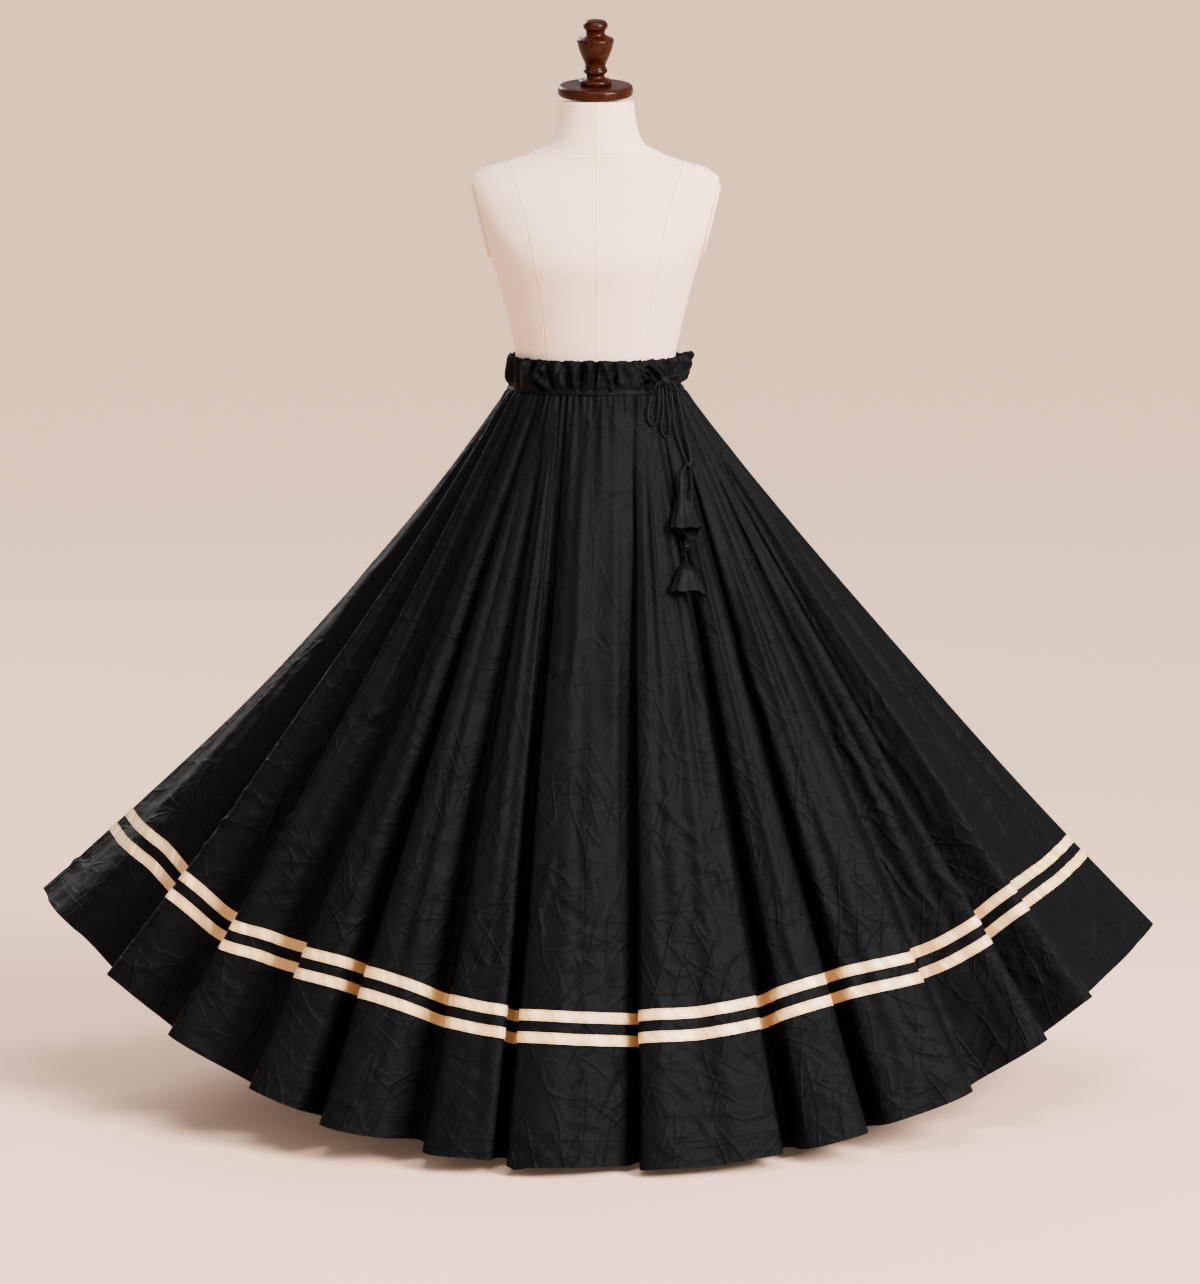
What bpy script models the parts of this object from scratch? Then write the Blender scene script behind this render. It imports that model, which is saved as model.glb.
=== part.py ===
"""A gored maxi skirt with a drawstring waist, standing on a limbless dress form.

Metres, +Z up. The origin is the centre of the stand's underside, on the floor. The front
looks along -Y and +X is the viewer's right.

The skirt hangs from the waist seam in straight strands of cloth. Each strand runs from a
point of the waist oval to a point of the hem, so the folds are nothing at the waist and
deepest at the hem. The fold tables below say where the ridges and valleys of the hem are.
"""
import math
from typing import NamedTuple

import bmesh
import bpy
import numpy as np
from mathutils import Matrix, Vector

# Cloth
CLOTH = 0.0012              # wall of the skirt
RIBBON = 0.0006             # wall of the satin ribbons
CASING_WALL = 0.0022        # wall of the doubled waistband
SEAM_GAP = 0.0003           # gap between pieces that are sewn together

# Waist
SEAM_Z = 1.0255             # height of the seam under the waistband
WAIST_HALF_WIDTH = 0.1215
WAIST_HALF_DEPTH = 0.0975
GATHER_DEPTH = 0.0034       # height of a gather above the mean waist oval
GATHER_FADE = 0.07          # share of the skirt's length in which the gathers fade

# Hem
LEFT_TIP_X = -0.808         # the side folds, at the hem's widest
RIGHT_TIP_X = 0.816
TIP_Y = 0.18                # how far back the two side folds lie
FRONT_REACH = 0.61          # from the side folds forward to the middle of the front hem
BACK_REACH = 0.29           # from the side folds back to the middle of the back hem
OVAL_POWER = 0.7            # roundness of the hem seen from above
TIP_BOW_LEFT = 0.045        # how far the left side edge bows inwards
TIP_BOW_RIGHT = 0.018

# Columns and rows of the cloth
HALF_COLUMNS = 84
GORES_PER_HALF = 6
COLUMNS_PER_GATHER = 4
CLOTH_ROWS = (0.0, 0.035, 0.09, 0.20, 0.50)
EVEN_SHARE = 0.25           # 1 starts the strands evenly along the waist, 0 as listed
HEM_PATH_STEPS = 1200       # points of the smooth hem curve from which the columns are taken

# Ribbons, measured from the hem up along the cloth
RIBBON_WIDTH = 0.0158
RIBBON_SPACING = 0.0146
RIBBON_ABOVE_HEM = 0.167    # at the middle of the front
RIBBON_DROP_AT_TIPS = 0.030  # how much nearer to the hem it runs at the side folds


class Fold(NamedTuple):
    """A ridge or valley of the hem, from the left side fold to the right one."""

    name: str
    hem_x: float            # where it lies along the hem
    reach: float            # outwards from the hem's oval, negative for a valley
    length: float           # cloth from the waist seam to the hem
    waist_deg: float        # where it starts on the waist, 0 at the middle, -90 at the left


FRONT_FOLDS = (
    Fold("left_tip", LEFT_TIP_X, 0.000, 1.034, -90),
    Fold("outer_left_panel", -0.736, 0.006, 0.996, -85),
    Fold("valley_1", -0.705, -0.030, 1.005, -80),
    Fold("ridge_2", -0.660, 0.030, 1.000, -77),
    Fold("valley_2", -0.612, -0.036, 1.018, -69),
    Fold("ridge_3", -0.570, 0.032, 1.020, -66),
    Fold("valley_3", -0.492, -0.040, 1.036, -52),
    Fold("ridge_4", -0.456, 0.032, 1.040, -49),
    Fold("brow_4", -0.409, 0.014, 1.045, -45),
    Fold("valley_4", -0.388, -0.044, 1.045, -42),
    Fold("ridge_5", -0.360, 0.032, 1.058, -39),
    Fold("brow_5", -0.294, 0.012, 1.056, -35),
    Fold("valley_5", -0.246, -0.042, 1.048, -32),
    Fold("ridge_6", -0.222, 0.024, 1.067, -30),
    Fold("brow_6", -0.152, 0.018, 1.066, -28),
    Fold("valley_6", -0.130, -0.048, 1.052, -26),
    Fold("ridge_7", -0.092, 0.026, 1.073, -19),
    Fold("brow_7", -0.004, 0.010, 1.068, 2),
    Fold("valley_7", 0.060, -0.044, 1.054, 23),
    Fold("ridge_8", 0.078, 0.026, 1.077, 27),
    Fold("brow_8", 0.154, 0.020, 1.075, 33),
    Fold("edge_8", 0.236, 0.012, 1.070, 40),
    Fold("valley_8", 0.284, -0.050, 1.054, 46),
    Fold("ridge_9", 0.304, 0.016, 1.069, 51),
    Fold("edge_9", 0.358, 0.014, 1.065, 56),
    Fold("valley_9", 0.404, -0.050, 1.048, 60),
    Fold("ridge_10", 0.424, 0.008, 1.061, 64),
    Fold("edge_10", 0.497, 0.030, 1.059, 69),
    Fold("valley_10", 0.544, -0.034, 1.054, 71),
    Fold("edge_11", 0.607, 0.030, 1.044, 76),
    Fold("valley_11", 0.650, -0.030, 1.045, 78),
    Fold("edge_12", 0.672, 0.026, 1.034, 81),
    Fold("valley_12", 0.714, -0.018, 1.042, 83),
    Fold("right_tip", RIGHT_TIP_X, 0.000, 1.079, 90),
)

BACK_FOLDS = (
    Fold("left_tip", LEFT_TIP_X, 0.000, 1.034, -90),
    Fold("back_panel_1", -0.744, 0.010, 1.034, -84),
    Fold("back_valley_1", -0.684, -0.034, 1.034, -79),
    Fold("back_ridge_2", -0.650, 0.030, 1.036, -75),
    Fold("back_brow_2", -0.590, 0.010, 1.040, -69),
    Fold("back_valley_2", -0.540, -0.038, 1.045, -65),
    Fold("back_ridge_3", -0.505, 0.030, 1.048, -61),
    Fold("back_brow_3", -0.440, 0.012, 1.052, -54),
    Fold("back_valley_3", -0.385, -0.042, 1.056, -49),
    Fold("back_ridge_4", -0.350, 0.030, 1.058, -45),
    Fold("back_brow_4", -0.270, 0.016, 1.062, -36),
    Fold("back_valley_4", -0.215, -0.044, 1.064, -31),
    Fold("back_ridge_5", -0.178, 0.026, 1.066, -26),
    Fold("back_brow_5", -0.090, 0.020, 1.068, -14),
    Fold("back_valley_5", -0.040, -0.046, 1.068, -8),
    Fold("back_ridge_6", 0.000, 0.028, 1.070, -2),
    Fold("back_brow_6", 0.100, 0.018, 1.070, 12),
    Fold("back_valley_6", 0.150, -0.046, 1.068, 20),
    Fold("back_ridge_7", 0.190, 0.026, 1.066, 26),
    Fold("back_brow_7", 0.270, 0.016, 1.064, 36),
    Fold("back_valley_7", 0.325, -0.042, 1.060, 43),
    Fold("back_ridge_8", 0.362, 0.028, 1.060, 48),
    Fold("back_brow_8", 0.440, 0.014, 1.058, 56),
    Fold("back_valley_8", 0.492, -0.040, 1.056, 61),
    Fold("back_ridge_9", 0.528, 0.028, 1.056, 65),
    Fold("back_brow_9", 0.592, 0.010, 1.058, 71),
    Fold("back_valley_9", 0.640, -0.034, 1.060, 75),
    Fold("back_ridge_10", 0.676, 0.026, 1.064, 79),
    Fold("back_panel_10", 0.744, 0.008, 1.070, 84),
    Fold("right_tip", RIGHT_TIP_X, 0.000, 1.079, 90),
)


class CasingRow(NamedTuple):
    """A level ring of the waistband, from its seam up to the frilled edge."""

    name: str
    rise: float             # above the waist seam
    out: float              # beyond the waist oval
    gather: float           # height of its gathers
    bunch: float            # how far the gathered-up cloth stands out at the right side


CASING_ROWS = (
    CasingRow("seam", 0.0004, 0.0000, 0.0034, 0.000),
    CasingRow("lower_puff", 0.0110, 0.0004, 0.0038, 0.001),
    CasingRow("cord_channel", 0.0235, -0.0038, 0.0042, 0.004),
    CasingRow("frill", 0.0355, -0.0006, 0.0044, 0.012),
    CasingRow("frill_edge", 0.0460, -0.0006, 0.0046, 0.008),
)
BUNCH_DEG = 84              # where the waistband bunches up, towards the right side
BUNCH_SPREAD_DEG = 11


class Knot(NamedTuple):
    """A tight knot that lies on the cloth, as a small rounded lump."""

    x: float
    z: float
    half_width: float
    half_depth: float
    half_height: float


class RoutePoint(NamedTuple):
    """A point of a cord, just in front of the cloth: its place and its gap to the cloth."""

    x: float
    z: float
    lift: float


CORD_RADIUS = 0.0015
CORD_WINDOW = 0.0028        # how far around it a cord looks for the cloth it lies on
CORD_SEGMENT = 0.0084       # length of a cord's straight pieces
CORD_POINTS_PER_ROW = 10
CORD_SMOOTHING = 3          # points on each side over which a cord spans the gathers
KNOT_GAP = 0.0006
BOW_KNOT = Knot(0.0951, 1.0425, 0.0076, 0.0060, 0.0068)
TAIL_KNOT = Knot(0.1290, 0.9255, 0.0046, 0.0042, 0.0046)
LOWER_KNOT = Knot(0.1281, 0.8075, 0.0060, 0.0046, 0.0068)

LOOP_LEFT = (
    RoutePoint(0.0850, 1.0390, 0.0040), RoutePoint(0.0806, 1.0300, 0.0020),
    RoutePoint(0.0762, 1.0160, 0.0008), RoutePoint(0.0726, 0.9980, 0.0008),
    RoutePoint(0.0745, 0.9870, 0.0008), RoutePoint(0.0795, 0.9822, 0.0008),
    RoutePoint(0.0846, 0.9855, 0.0008), RoutePoint(0.0872, 0.9980, 0.0010),
    RoutePoint(0.0882, 1.0130, 0.0014), RoutePoint(0.0884, 1.0250, 0.0024),
    RoutePoint(0.0879, 1.0348, 0.0040),
)
LOOP_RIGHT = (
    RoutePoint(0.0925, 1.0324, 0.0045), RoutePoint(0.0936, 1.0220, 0.0024),
    RoutePoint(0.0942, 1.0060, 0.0014), RoutePoint(0.0922, 0.9860, 0.0010),
    RoutePoint(0.0925, 0.9720, 0.0008), RoutePoint(0.0968, 0.9655, 0.0008),
    RoutePoint(0.1022, 0.9700, 0.0008), RoutePoint(0.1030, 0.9850, 0.0008),
    RoutePoint(0.1008, 1.0050, 0.0010), RoutePoint(0.0986, 1.0220, 0.0024),
    RoutePoint(0.0974, 1.0323, 0.0045),
)
TAIL_LEFT = (
    RoutePoint(0.1026, 1.0352, 0.0045), RoutePoint(0.1054, 1.0250, 0.0030),
    RoutePoint(0.1074, 1.0040, 0.0014), RoutePoint(0.1092, 0.9850, 0.0010),
    RoutePoint(0.1130, 0.9680, 0.0008), RoutePoint(0.1180, 0.9520, 0.0008),
    RoutePoint(0.1228, 0.9390, 0.0010), RoutePoint(0.1258, 0.9312, 0.0020),
)
TAIL_RIGHT = (
    RoutePoint(0.1052, 1.0402, 0.0045), RoutePoint(0.1106, 1.0325, 0.0030),
    RoutePoint(0.1145, 1.0180, 0.0010), RoutePoint(0.1185, 1.0000, 0.0008),
    RoutePoint(0.1225, 0.9800, 0.0008), RoutePoint(0.1268, 0.9610, 0.0008),
    RoutePoint(0.1306, 0.9440, 0.0010), RoutePoint(0.1312, 0.9330, 0.0020),
)
TAIL_LINK = (
    RoutePoint(0.1260, 0.9196, 0.0046), RoutePoint(0.1238, 0.9176, 0.0062),
)
TAIL_LOWER = (
    RoutePoint(0.1308, 0.9190, 0.0016), RoutePoint(0.1330, 0.9080, 0.0006),
    RoutePoint(0.1336, 0.8920, 0.0006), RoutePoint(0.1324, 0.8700, 0.0006),
    RoutePoint(0.1304, 0.8480, 0.0006), RoutePoint(0.1290, 0.8300, 0.0008),
    RoutePoint(0.1282, 0.8180, 0.0014),
)


class TasselRing(NamedTuple):
    """A level ring of a folded cloth tassel, from its bound neck down to its lip."""

    x: float
    z: float
    half_width: float
    half_depth: float
    lift: float             # gap between the tassel and the cloth behind it


TASSEL_UPPER = (
    TasselRing(0.1227, 0.9122, 0.0036, 0.0032, 0.0064),
    TasselRing(0.1224, 0.9020, 0.0044, 0.0038, 0.0064),
    TasselRing(0.1225, 0.8890, 0.0048, 0.0042, 0.0064),
    TasselRing(0.1235, 0.8800, 0.0110, 0.0062, 0.0064),
    TasselRing(0.1257, 0.8620, 0.0170, 0.0080, 0.0064),
    TasselRing(0.1285, 0.8440, 0.0225, 0.0086, 0.0064),
    TasselRing(0.1297, 0.8370, 0.0215, 0.0078, 0.0066),
    TasselRing(0.1320, 0.8255, 0.0120, 0.0046, 0.0070),
)
TASSEL_LOWER = (
    TasselRing(0.1281, 0.8003, 0.0036, 0.0032, 0.0012),
    TasselRing(0.1277, 0.7930, 0.0060, 0.0044, 0.0008),
    TasselRing(0.1279, 0.7840, 0.0130, 0.0066, 0.0008),
    TasselRing(0.1291, 0.7690, 0.0195, 0.0084, 0.0008),
    TasselRing(0.1309, 0.7520, 0.0262, 0.0090, 0.0008),
    TasselRing(0.1319, 0.7440, 0.0250, 0.0080, 0.0012),
    TasselRing(0.1331, 0.7370, 0.0130, 0.0046, 0.0022),
)
TASSEL_SIDES = 16
TASSEL_FLUTES = 5
TASSEL_FLUTE_DEPTH = 0.12
TASSEL_FLUTE_TWIST = 0.2    # radians from one ring to the next
TASSEL_WINDOW_HEIGHT = 0.004


class Section(NamedTuple):
    """A level section of the dress form's torso."""

    name: str
    z: float
    half_width: float
    front: float            # depth in front of the axis
    back: float             # depth behind the axis
    squareness: float       # 2 is an ellipse, more is squarer


TORSO_SECTIONS = (
    Section("underside", 0.790, 0.150, 0.098, 0.108, 2.2),
    Section("lower_edge", 0.796, 0.156, 0.103, 0.113, 2.2),
    Section("hip", 0.850, 0.162, 0.106, 0.118, 2.2),
    Section("high_hip", 0.930, 0.144, 0.096, 0.106, 2.2),
    Section("under_waist", 0.990, 0.122, 0.088, 0.092, 2.15),
    Section("waist", 1.030, 0.1110, 0.0868, 0.0868, 2.05),
    Section("waistband_top", 1.068, 0.1120, 0.0872, 0.0868, 2.05),
    Section("ribs", 1.112, 0.1205, 0.098, 0.088, 2.15),
    Section("under_bust", 1.160, 0.1325, 0.112, 0.094, 2.2),
    Section("bust", 1.205, 0.1455, 0.124, 0.100, 2.25),
    Section("over_bust", 1.232, 0.1560, 0.118, 0.104, 2.3),
    Section("chest", 1.262, 0.1665, 0.102, 0.105, 2.3),
    Section("armhole", 1.290, 0.1745, 0.084, 0.100, 2.3),
    Section("shoulder_tip", 1.314, 0.1765, 0.066, 0.088, 2.2),
    Section("shoulder_slope", 1.330, 0.160, 0.058, 0.076, 2.1),
    Section("shoulder_mid", 1.342, 0.125, 0.056, 0.068, 2.05),
    Section("neck_root", 1.354, 0.091, 0.056, 0.062, 2.0),
    Section("neck_seam", 1.369, 0.0665, 0.055, 0.058, 2.0),
    Section("neck", 1.386, 0.0595, 0.053, 0.055, 2.0),
    Section("neck_top", 1.4255, 0.0530, 0.051, 0.051, 2.0),
)
TORSO_SIDES = 36

# The armholes are closed by flat oval plates that lean out towards the shoulders
ARM_PLATE_LOW_X, ARM_PLATE_LOW_Z = 0.1445, 1.2050
ARM_PLATE_HIGH_X, ARM_PLATE_HIGH_Z = 0.1715, 1.3140
ARM_PLATE_HALF_DEPTH = 0.045
ARM_PLATE_THICKNESS = 0.005
ARM_PLATE_BACK = 0.010      # how far behind the axis its middle lies
ARM_PLATE_FIT = 0.96        # its length as a share of the flat it covers
ARM_PLATE_GAP = 0.0004
ARM_PLATE_SIDES = 28


class ProfilePoint(NamedTuple):
    """A point of a turned profile: its radius and height."""

    radius: float
    height: float


# Neck cap and finial lean forward a little, as the form's neck does
NECK_LEAN = math.radians(9)
NECK_PIVOT = Vector((0.0, 0.0, 1.4255))
CAP_RADIUS_DROP = 0.0086    # lifts the leaning cap clear of the neck's level top
CAP = (
    ProfilePoint(0.0500, 0.0000), ProfilePoint(0.0520, 0.0020), ProfilePoint(0.0525, 0.0070),
    ProfilePoint(0.0520, 0.0118), ProfilePoint(0.0498, 0.0140), ProfilePoint(0.0440, 0.0148),
)
FINIAL = (
    ProfilePoint(0.0215, 0.0000), ProfilePoint(0.0228, 0.0035), ProfilePoint(0.0212, 0.0070),
    ProfilePoint(0.0135, 0.0105), ProfilePoint(0.0125, 0.0140), ProfilePoint(0.0165, 0.0175),
    ProfilePoint(0.0168, 0.0205), ProfilePoint(0.0147, 0.0240), ProfilePoint(0.0145, 0.0275),
    ProfilePoint(0.0190, 0.0390), ProfilePoint(0.0236, 0.0510), ProfilePoint(0.0252, 0.0580),
    ProfilePoint(0.0259, 0.0622), ProfilePoint(0.0240, 0.0650), ProfilePoint(0.0165, 0.0685),
    ProfilePoint(0.0132, 0.0725), ProfilePoint(0.0145, 0.0770), ProfilePoint(0.0173, 0.0815),
    ProfilePoint(0.0160, 0.0865), ProfilePoint(0.0100, 0.0905),
)

# Stand, under the skirt
POLE_RADIUS = 0.017
BASE_HEIGHT = 0.028
BASE = (
    ProfilePoint(0.1560, 0.0000), ProfilePoint(0.1600, 0.0040), ProfilePoint(0.1600, 0.0130),
    ProfilePoint(0.1550, 0.0190), ProfilePoint(0.1460, 0.0220), ProfilePoint(0.1420, 0.0260),
    ProfilePoint(0.1300, BASE_HEIGHT),
)


class Material(NamedTuple):
    """Colour, roughness and metallic value of a finish."""

    name: str
    colour: tuple
    roughness: float
    metallic: float = 0.0


BLACK_COTTON = Material("black_cotton", (0.012, 0.012, 0.014), 0.75)
GOLD_SATIN = Material("gold_satin", (0.80, 0.58, 0.34), 0.35)
LINEN = Material("linen", (0.84, 0.80, 0.74), 0.85)
WOOD = Material("polished_wood", (0.16, 0.045, 0.018), 0.25)


def finish(material):
    """Return a Principled material, made once for each finish."""
    made = bpy.data.materials.get(material.name)
    if made:
        return made
    made = bpy.data.materials.new(material.name)
    made.use_nodes = True
    shader = made.node_tree.nodes["Principled BSDF"]
    shader.inputs["Base Color"].default_value = (*material.colour, 1.0)
    shader.inputs["Roughness"].default_value = material.roughness
    shader.inputs["Metallic"].default_value = material.metallic
    made.diffuse_color = (*material.colour, 1.0)
    return made


def add_object(name, points, faces, material, sharp_deg=50):
    """Make one mesh object with smooth shading."""
    mesh = bpy.data.meshes.new(name)
    mesh.from_pydata([tuple(point) for point in points], [], [tuple(face) for face in faces])
    mesh.validate()
    mesh.materials.append(finish(material))
    mesh.shade_smooth()
    mesh.set_sharp_from_angle(angle=math.radians(sharp_deg))
    made = bpy.data.objects.new(name, mesh)
    bpy.context.scene.collection.objects.link(made)
    return made


def smooth_path(rows, steps):
    """Catmull-Rom curve through the rows: returns the curve and its row numbers."""
    rows = np.asarray(rows, dtype=float)
    padded = np.vstack([2 * rows[0] - rows[1], rows, 2 * rows[-1] - rows[-2]])
    place = np.linspace(0.0, len(rows) - 1.0, steps)
    low = np.minimum(place.astype(int), len(rows) - 2)
    t = (place - low)[:, None]
    a, b, c, d = (padded[low + shift] for shift in range(4))
    curve = 0.5 * (2 * b + (c - a) * t + (2 * a - 5 * b + 4 * c - d) * t**2
                   + (3 * b - a - 3 * c + d) * t**3)
    return curve, place


def even_places(curve, place, count):
    """Row numbers of count + 1 points that lie evenly along the curve."""
    run = np.r_[0.0, np.cumsum(np.linalg.norm(np.diff(curve, axis=0), axis=1))]
    return np.interp(np.linspace(0.0, run[-1], count + 1), run, place)


def hem_oval(x, side):
    """The hem's oval seen from above: its y, and the outward direction there."""
    reach = FRONT_REACH if side < 0 else BACK_REACH
    half_width = np.where(x < 0.0, -LEFT_TIP_X, RIGHT_TIP_X)
    share = np.clip(1.0 - (x / half_width) ** 2, 0.0, 1.0)
    y = TIP_Y + side * reach * share**OVAL_POWER
    out = np.stack([x / half_width**2, (y - TIP_Y) / reach**2], axis=-1)
    return y, out / np.linalg.norm(out, axis=-1, keepdims=True)


def half_strands(folds, side):
    """Waist points, hem points and bows of the front (side -1) or back (side +1) strands."""
    hem_x = np.array([fold.hem_x for fold in folds])
    reach = np.array([fold.reach for fold in folds])
    oval_y, out = hem_oval(hem_x, side)
    plan = np.stack([hem_x, oval_y], axis=-1) + out * reach[:, None]
    curve, place = smooth_path(plan, HEM_PATH_STEPS)
    columns = even_places(curve, place, HALF_COLUMNS)
    hem = np.stack([np.interp(columns, place, curve[:, axis]) for axis in (0, 1)], axis=-1)
    rows = np.arange(len(folds))
    even = np.linspace(-90.0, 90.0, HALF_COLUMNS + 1)
    listed = np.interp(columns, rows, [fold.waist_deg for fold in folds])
    angle = np.radians(EVEN_SHARE * even + (1.0 - EVEN_SHARE) * listed)
    waist = np.stack([WAIST_HALF_WIDTH * np.sin(angle),
                      side * WAIST_HALF_DEPTH * np.cos(angle)], axis=-1)
    length = np.interp(columns, rows, [fold.length for fold in folds])
    spread = np.linalg.norm(hem - waist, axis=1)
    hem_z = SEAM_Z - np.sqrt(length**2 - spread**2)
    tip_x = np.where(hem[:, 0] < 0.0, LEFT_TIP_X, RIGHT_TIP_X)
    outwards = np.clip(hem[:, 0] / tip_x, 0.0, 1.0)
    bow = np.where(hem[:, 0] < 0.0, TIP_BOW_LEFT, TIP_BOW_RIGHT) * outwards**6
    return {
        "waist": np.column_stack([waist, np.full(len(waist), SEAM_Z)]),
        "hem": np.column_stack([hem, hem_z]),
        "out": np.column_stack([np.sin(angle), side * np.cos(angle), np.zeros(len(angle))]),
        "bow": bow,
        "band": RIBBON_ABOVE_HEM - RIBBON_DROP_AT_TIPS * outwards**2,
    }


def all_strands():
    """The strands all round: along the front from left to right, then back along the rear."""
    front = half_strands(FRONT_FOLDS, -1.0)
    back = half_strands(BACK_FOLDS, 1.0)
    return {key: np.concatenate([front[key][:-1], back[key][::-1][:-1]]) for key in front}


def cloth_point_grid(strands, shares):
    """Middle surface of the cloth, one row for each share of the strands' length."""
    waist, hem = strands["waist"], strands["hem"]
    columns = np.arange(len(waist))
    ripple = np.sin(2.0 * np.pi * columns / COLUMNS_PER_GATHER)
    spacing = np.linalg.norm(np.roll(waist, -1, 0) - np.roll(waist, 1, 0), axis=1) / 2.0
    height = np.minimum(GATHER_DEPTH, spacing) * ripple
    sideways = np.column_stack([np.sign(hem[:, 0]), np.zeros(len(hem)), np.zeros(len(hem))])
    rows = []
    for share in shares:
        share = np.broadcast_to(share, len(waist))[:, None]
        fade = np.exp(-((share / GATHER_FADE) ** 1.5))
        sag = 4.0 * share * (1.0 - share) * strands["bow"][:, None]
        rows.append(waist + (hem - waist) * share + strands["out"] * height[:, None] * fade
                    - sideways * sag)
    return np.array(rows)


def grid_normals(grid):
    """Outward unit normals of a grid that closes on itself along its columns."""
    across = np.roll(grid, -1, axis=1) - np.roll(grid, 1, axis=1)
    down = np.gradient(grid, axis=0)
    normal = np.cross(down, across)
    return normal / np.linalg.norm(normal, axis=-1, keepdims=True)


def wall_faces(rows, columns, closed):
    """Triangles of a closed wall: outer grid first, then inner grid, then its edges."""
    faces = []
    size = rows * columns
    spans = columns if closed else columns - 1

    def quad(a, b, c, d):
        faces.append((a, b, c))
        faces.append((a, c, d))

    for column in range(spans):
        after = (column + 1) % columns
        for row in range(rows - 1):
            a, b = row * columns + column, (row + 1) * columns + column
            c, d = (row + 1) * columns + after, row * columns + after
            quad(a, b, c, d)
            quad(size + d, size + c, size + b, size + a)
        last = (rows - 1) * columns
        quad(column, after, size + after, size + column)
        quad(last + after, last + column, size + last + column, size + last + after)
    if not closed:
        for row in range(rows - 1):
            a, b = row * columns, (row + 1) * columns
            quad(a, size + a, size + b, b)
            c, d = a + columns - 1, b + columns - 1
            quad(size + c, c, d, size + d)
    return faces


def add_wall(name, outer, inner, material, closed):
    """A closed wall between two grids of points."""
    rows, columns = outer.shape[:2]
    points = np.concatenate([outer.reshape(-1, 3), inner.reshape(-1, 3)])
    return add_object(name, points, wall_faces(rows, columns, closed), material)


def pull_in(grid, gap):
    """Draw both side columns of a grid in by the gap, towards their neighbours."""
    grid = grid.copy()
    for edge, near in ((0, 1), (-1, -2)):
        along = grid[:, near] - grid[:, edge]
        grid[:, edge] += along * (gap / np.linalg.norm(along, axis=-1, keepdims=True))
    return grid


def ribbon_shares(strands):
    """Shares of the strands' length at the top and bottom edges of the two ribbons."""
    length = np.linalg.norm(strands["hem"] - strands["waist"], axis=1)
    low_bottom = strands["band"]
    low_top = low_bottom + RIBBON_WIDTH
    high_bottom = low_top + RIBBON_SPACING
    high_top = high_bottom + RIBBON_WIDTH
    return [1.0 - rise / length for rise in (high_top, high_bottom, low_top, low_bottom)]


def build_skirt(strands):
    """The gores and the two ribbons. Returns the outer grid of the cloth."""
    shares = list(CLOTH_ROWS) + ribbon_shares(strands) + [1.0]
    middle = cloth_point_grid(strands, shares)
    normal = grid_normals(middle)
    normal[0, :, 2] = 0.0
    normal[0] /= np.linalg.norm(normal[0], axis=-1, keepdims=True)
    outer = middle + normal * CLOTH / 2.0
    inner = middle - normal * CLOTH / 2.0
    step = HALF_COLUMNS // GORES_PER_HALF
    for number in range(2 * GORES_PER_HALF):
        picked = np.arange(number * step, (number + 1) * step + 1) % (2 * HALF_COLUMNS)
        half = "front" if number < GORES_PER_HALF else "back"
        name = f"{half}_gore_{number % GORES_PER_HALF + 1}"
        add_wall(name, pull_in(outer[:, picked], SEAM_GAP / 2.0),
                 pull_in(inner[:, picked], SEAM_GAP / 2.0), BLACK_COTTON, closed=False)
    first = len(CLOTH_ROWS)
    for name, row in (("upper_ribbon", first), ("lower_ribbon", first + 2)):
        under = middle[row:row + 2] + normal[row:row + 2] * (CLOTH / 2.0 + SEAM_GAP)
        over = under + normal[row:row + 2] * RIBBON
        add_wall(name, over, under, GOLD_SATIN, closed=True)
    return outer


def build_casing(strands):
    """The gathered waistband ring. Returns its outer grid."""
    waist = strands["waist"][1::2].copy()
    out = strands["out"][1::2]
    ripple = np.cos(np.pi * np.arange(len(waist)))
    around = np.degrees(np.arctan2(waist[:, 0], -waist[:, 1]))
    bunch = np.exp(-(((around - BUNCH_DEG) / BUNCH_SPREAD_DEG) ** 2))
    middle = []
    for row in CASING_ROWS:
        offset = row.out + row.gather * ripple + row.bunch * bunch
        ring = waist + out * offset[:, None]
        ring[:, 2] = SEAM_Z + row.rise
        middle.append(ring)
    middle = np.array(middle[::-1])
    outer = middle + out * CASING_WALL / 2.0
    inner = middle - out * CASING_WALL / 2.0
    add_wall("waistband", outer, inner, BLACK_COTTON, closed=True)
    return outer


def front_triangles(grids):
    """The triangles of the outer cloth, as three arrays of corners."""
    corners = [[], [], []]
    for grid in grids:
        near = np.roll(grid, -1, axis=1)
        for trio in ((grid[:-1], grid[1:], near[1:]), (grid[:-1], near[1:], near[:-1])):
            for store, points in zip(corners, trio):
                store.append(points.reshape(-1, 3))
    return [np.concatenate(store) for store in corners]


def cloth_y(triangles, x, z):
    """The foremost y of the cloth at a place seen from the front."""
    a, b, c = triangles
    ab, ac = b - a, c - a
    area = ab[:, 0] * ac[:, 2] - ab[:, 2] * ac[:, 0]
    area = np.where(np.abs(area) < 1e-12, 1e-12, area)
    dx, dz = x - a[:, 0], z - a[:, 2]
    u = (dx * ac[:, 2] - dz * ac[:, 0]) / area
    v = (ab[:, 0] * dz - ab[:, 2] * dx) / area
    inside = (u >= 0.0) & (v >= 0.0) & (u + v <= 1.0)
    if not inside.any():
        return 0.0
    return float((a[:, 1] + u * ab[:, 1] + v * ac[:, 1])[inside].min())


def in_front(triangles, x, z, half_width, half_height, half_depth, lift):
    """A point whose surroundings clear the cloth by the lift."""
    places = [(x + sx * half_width, z + sz * half_height)
              for sx in (-1.0, -0.5, 0.0, 0.5, 1.0) for sz in (-1.0, 0.0, 1.0)]
    foremost = min(cloth_y(triangles, *place) for place in places)
    return np.array([x, foremost - lift - half_depth, z])


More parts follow.
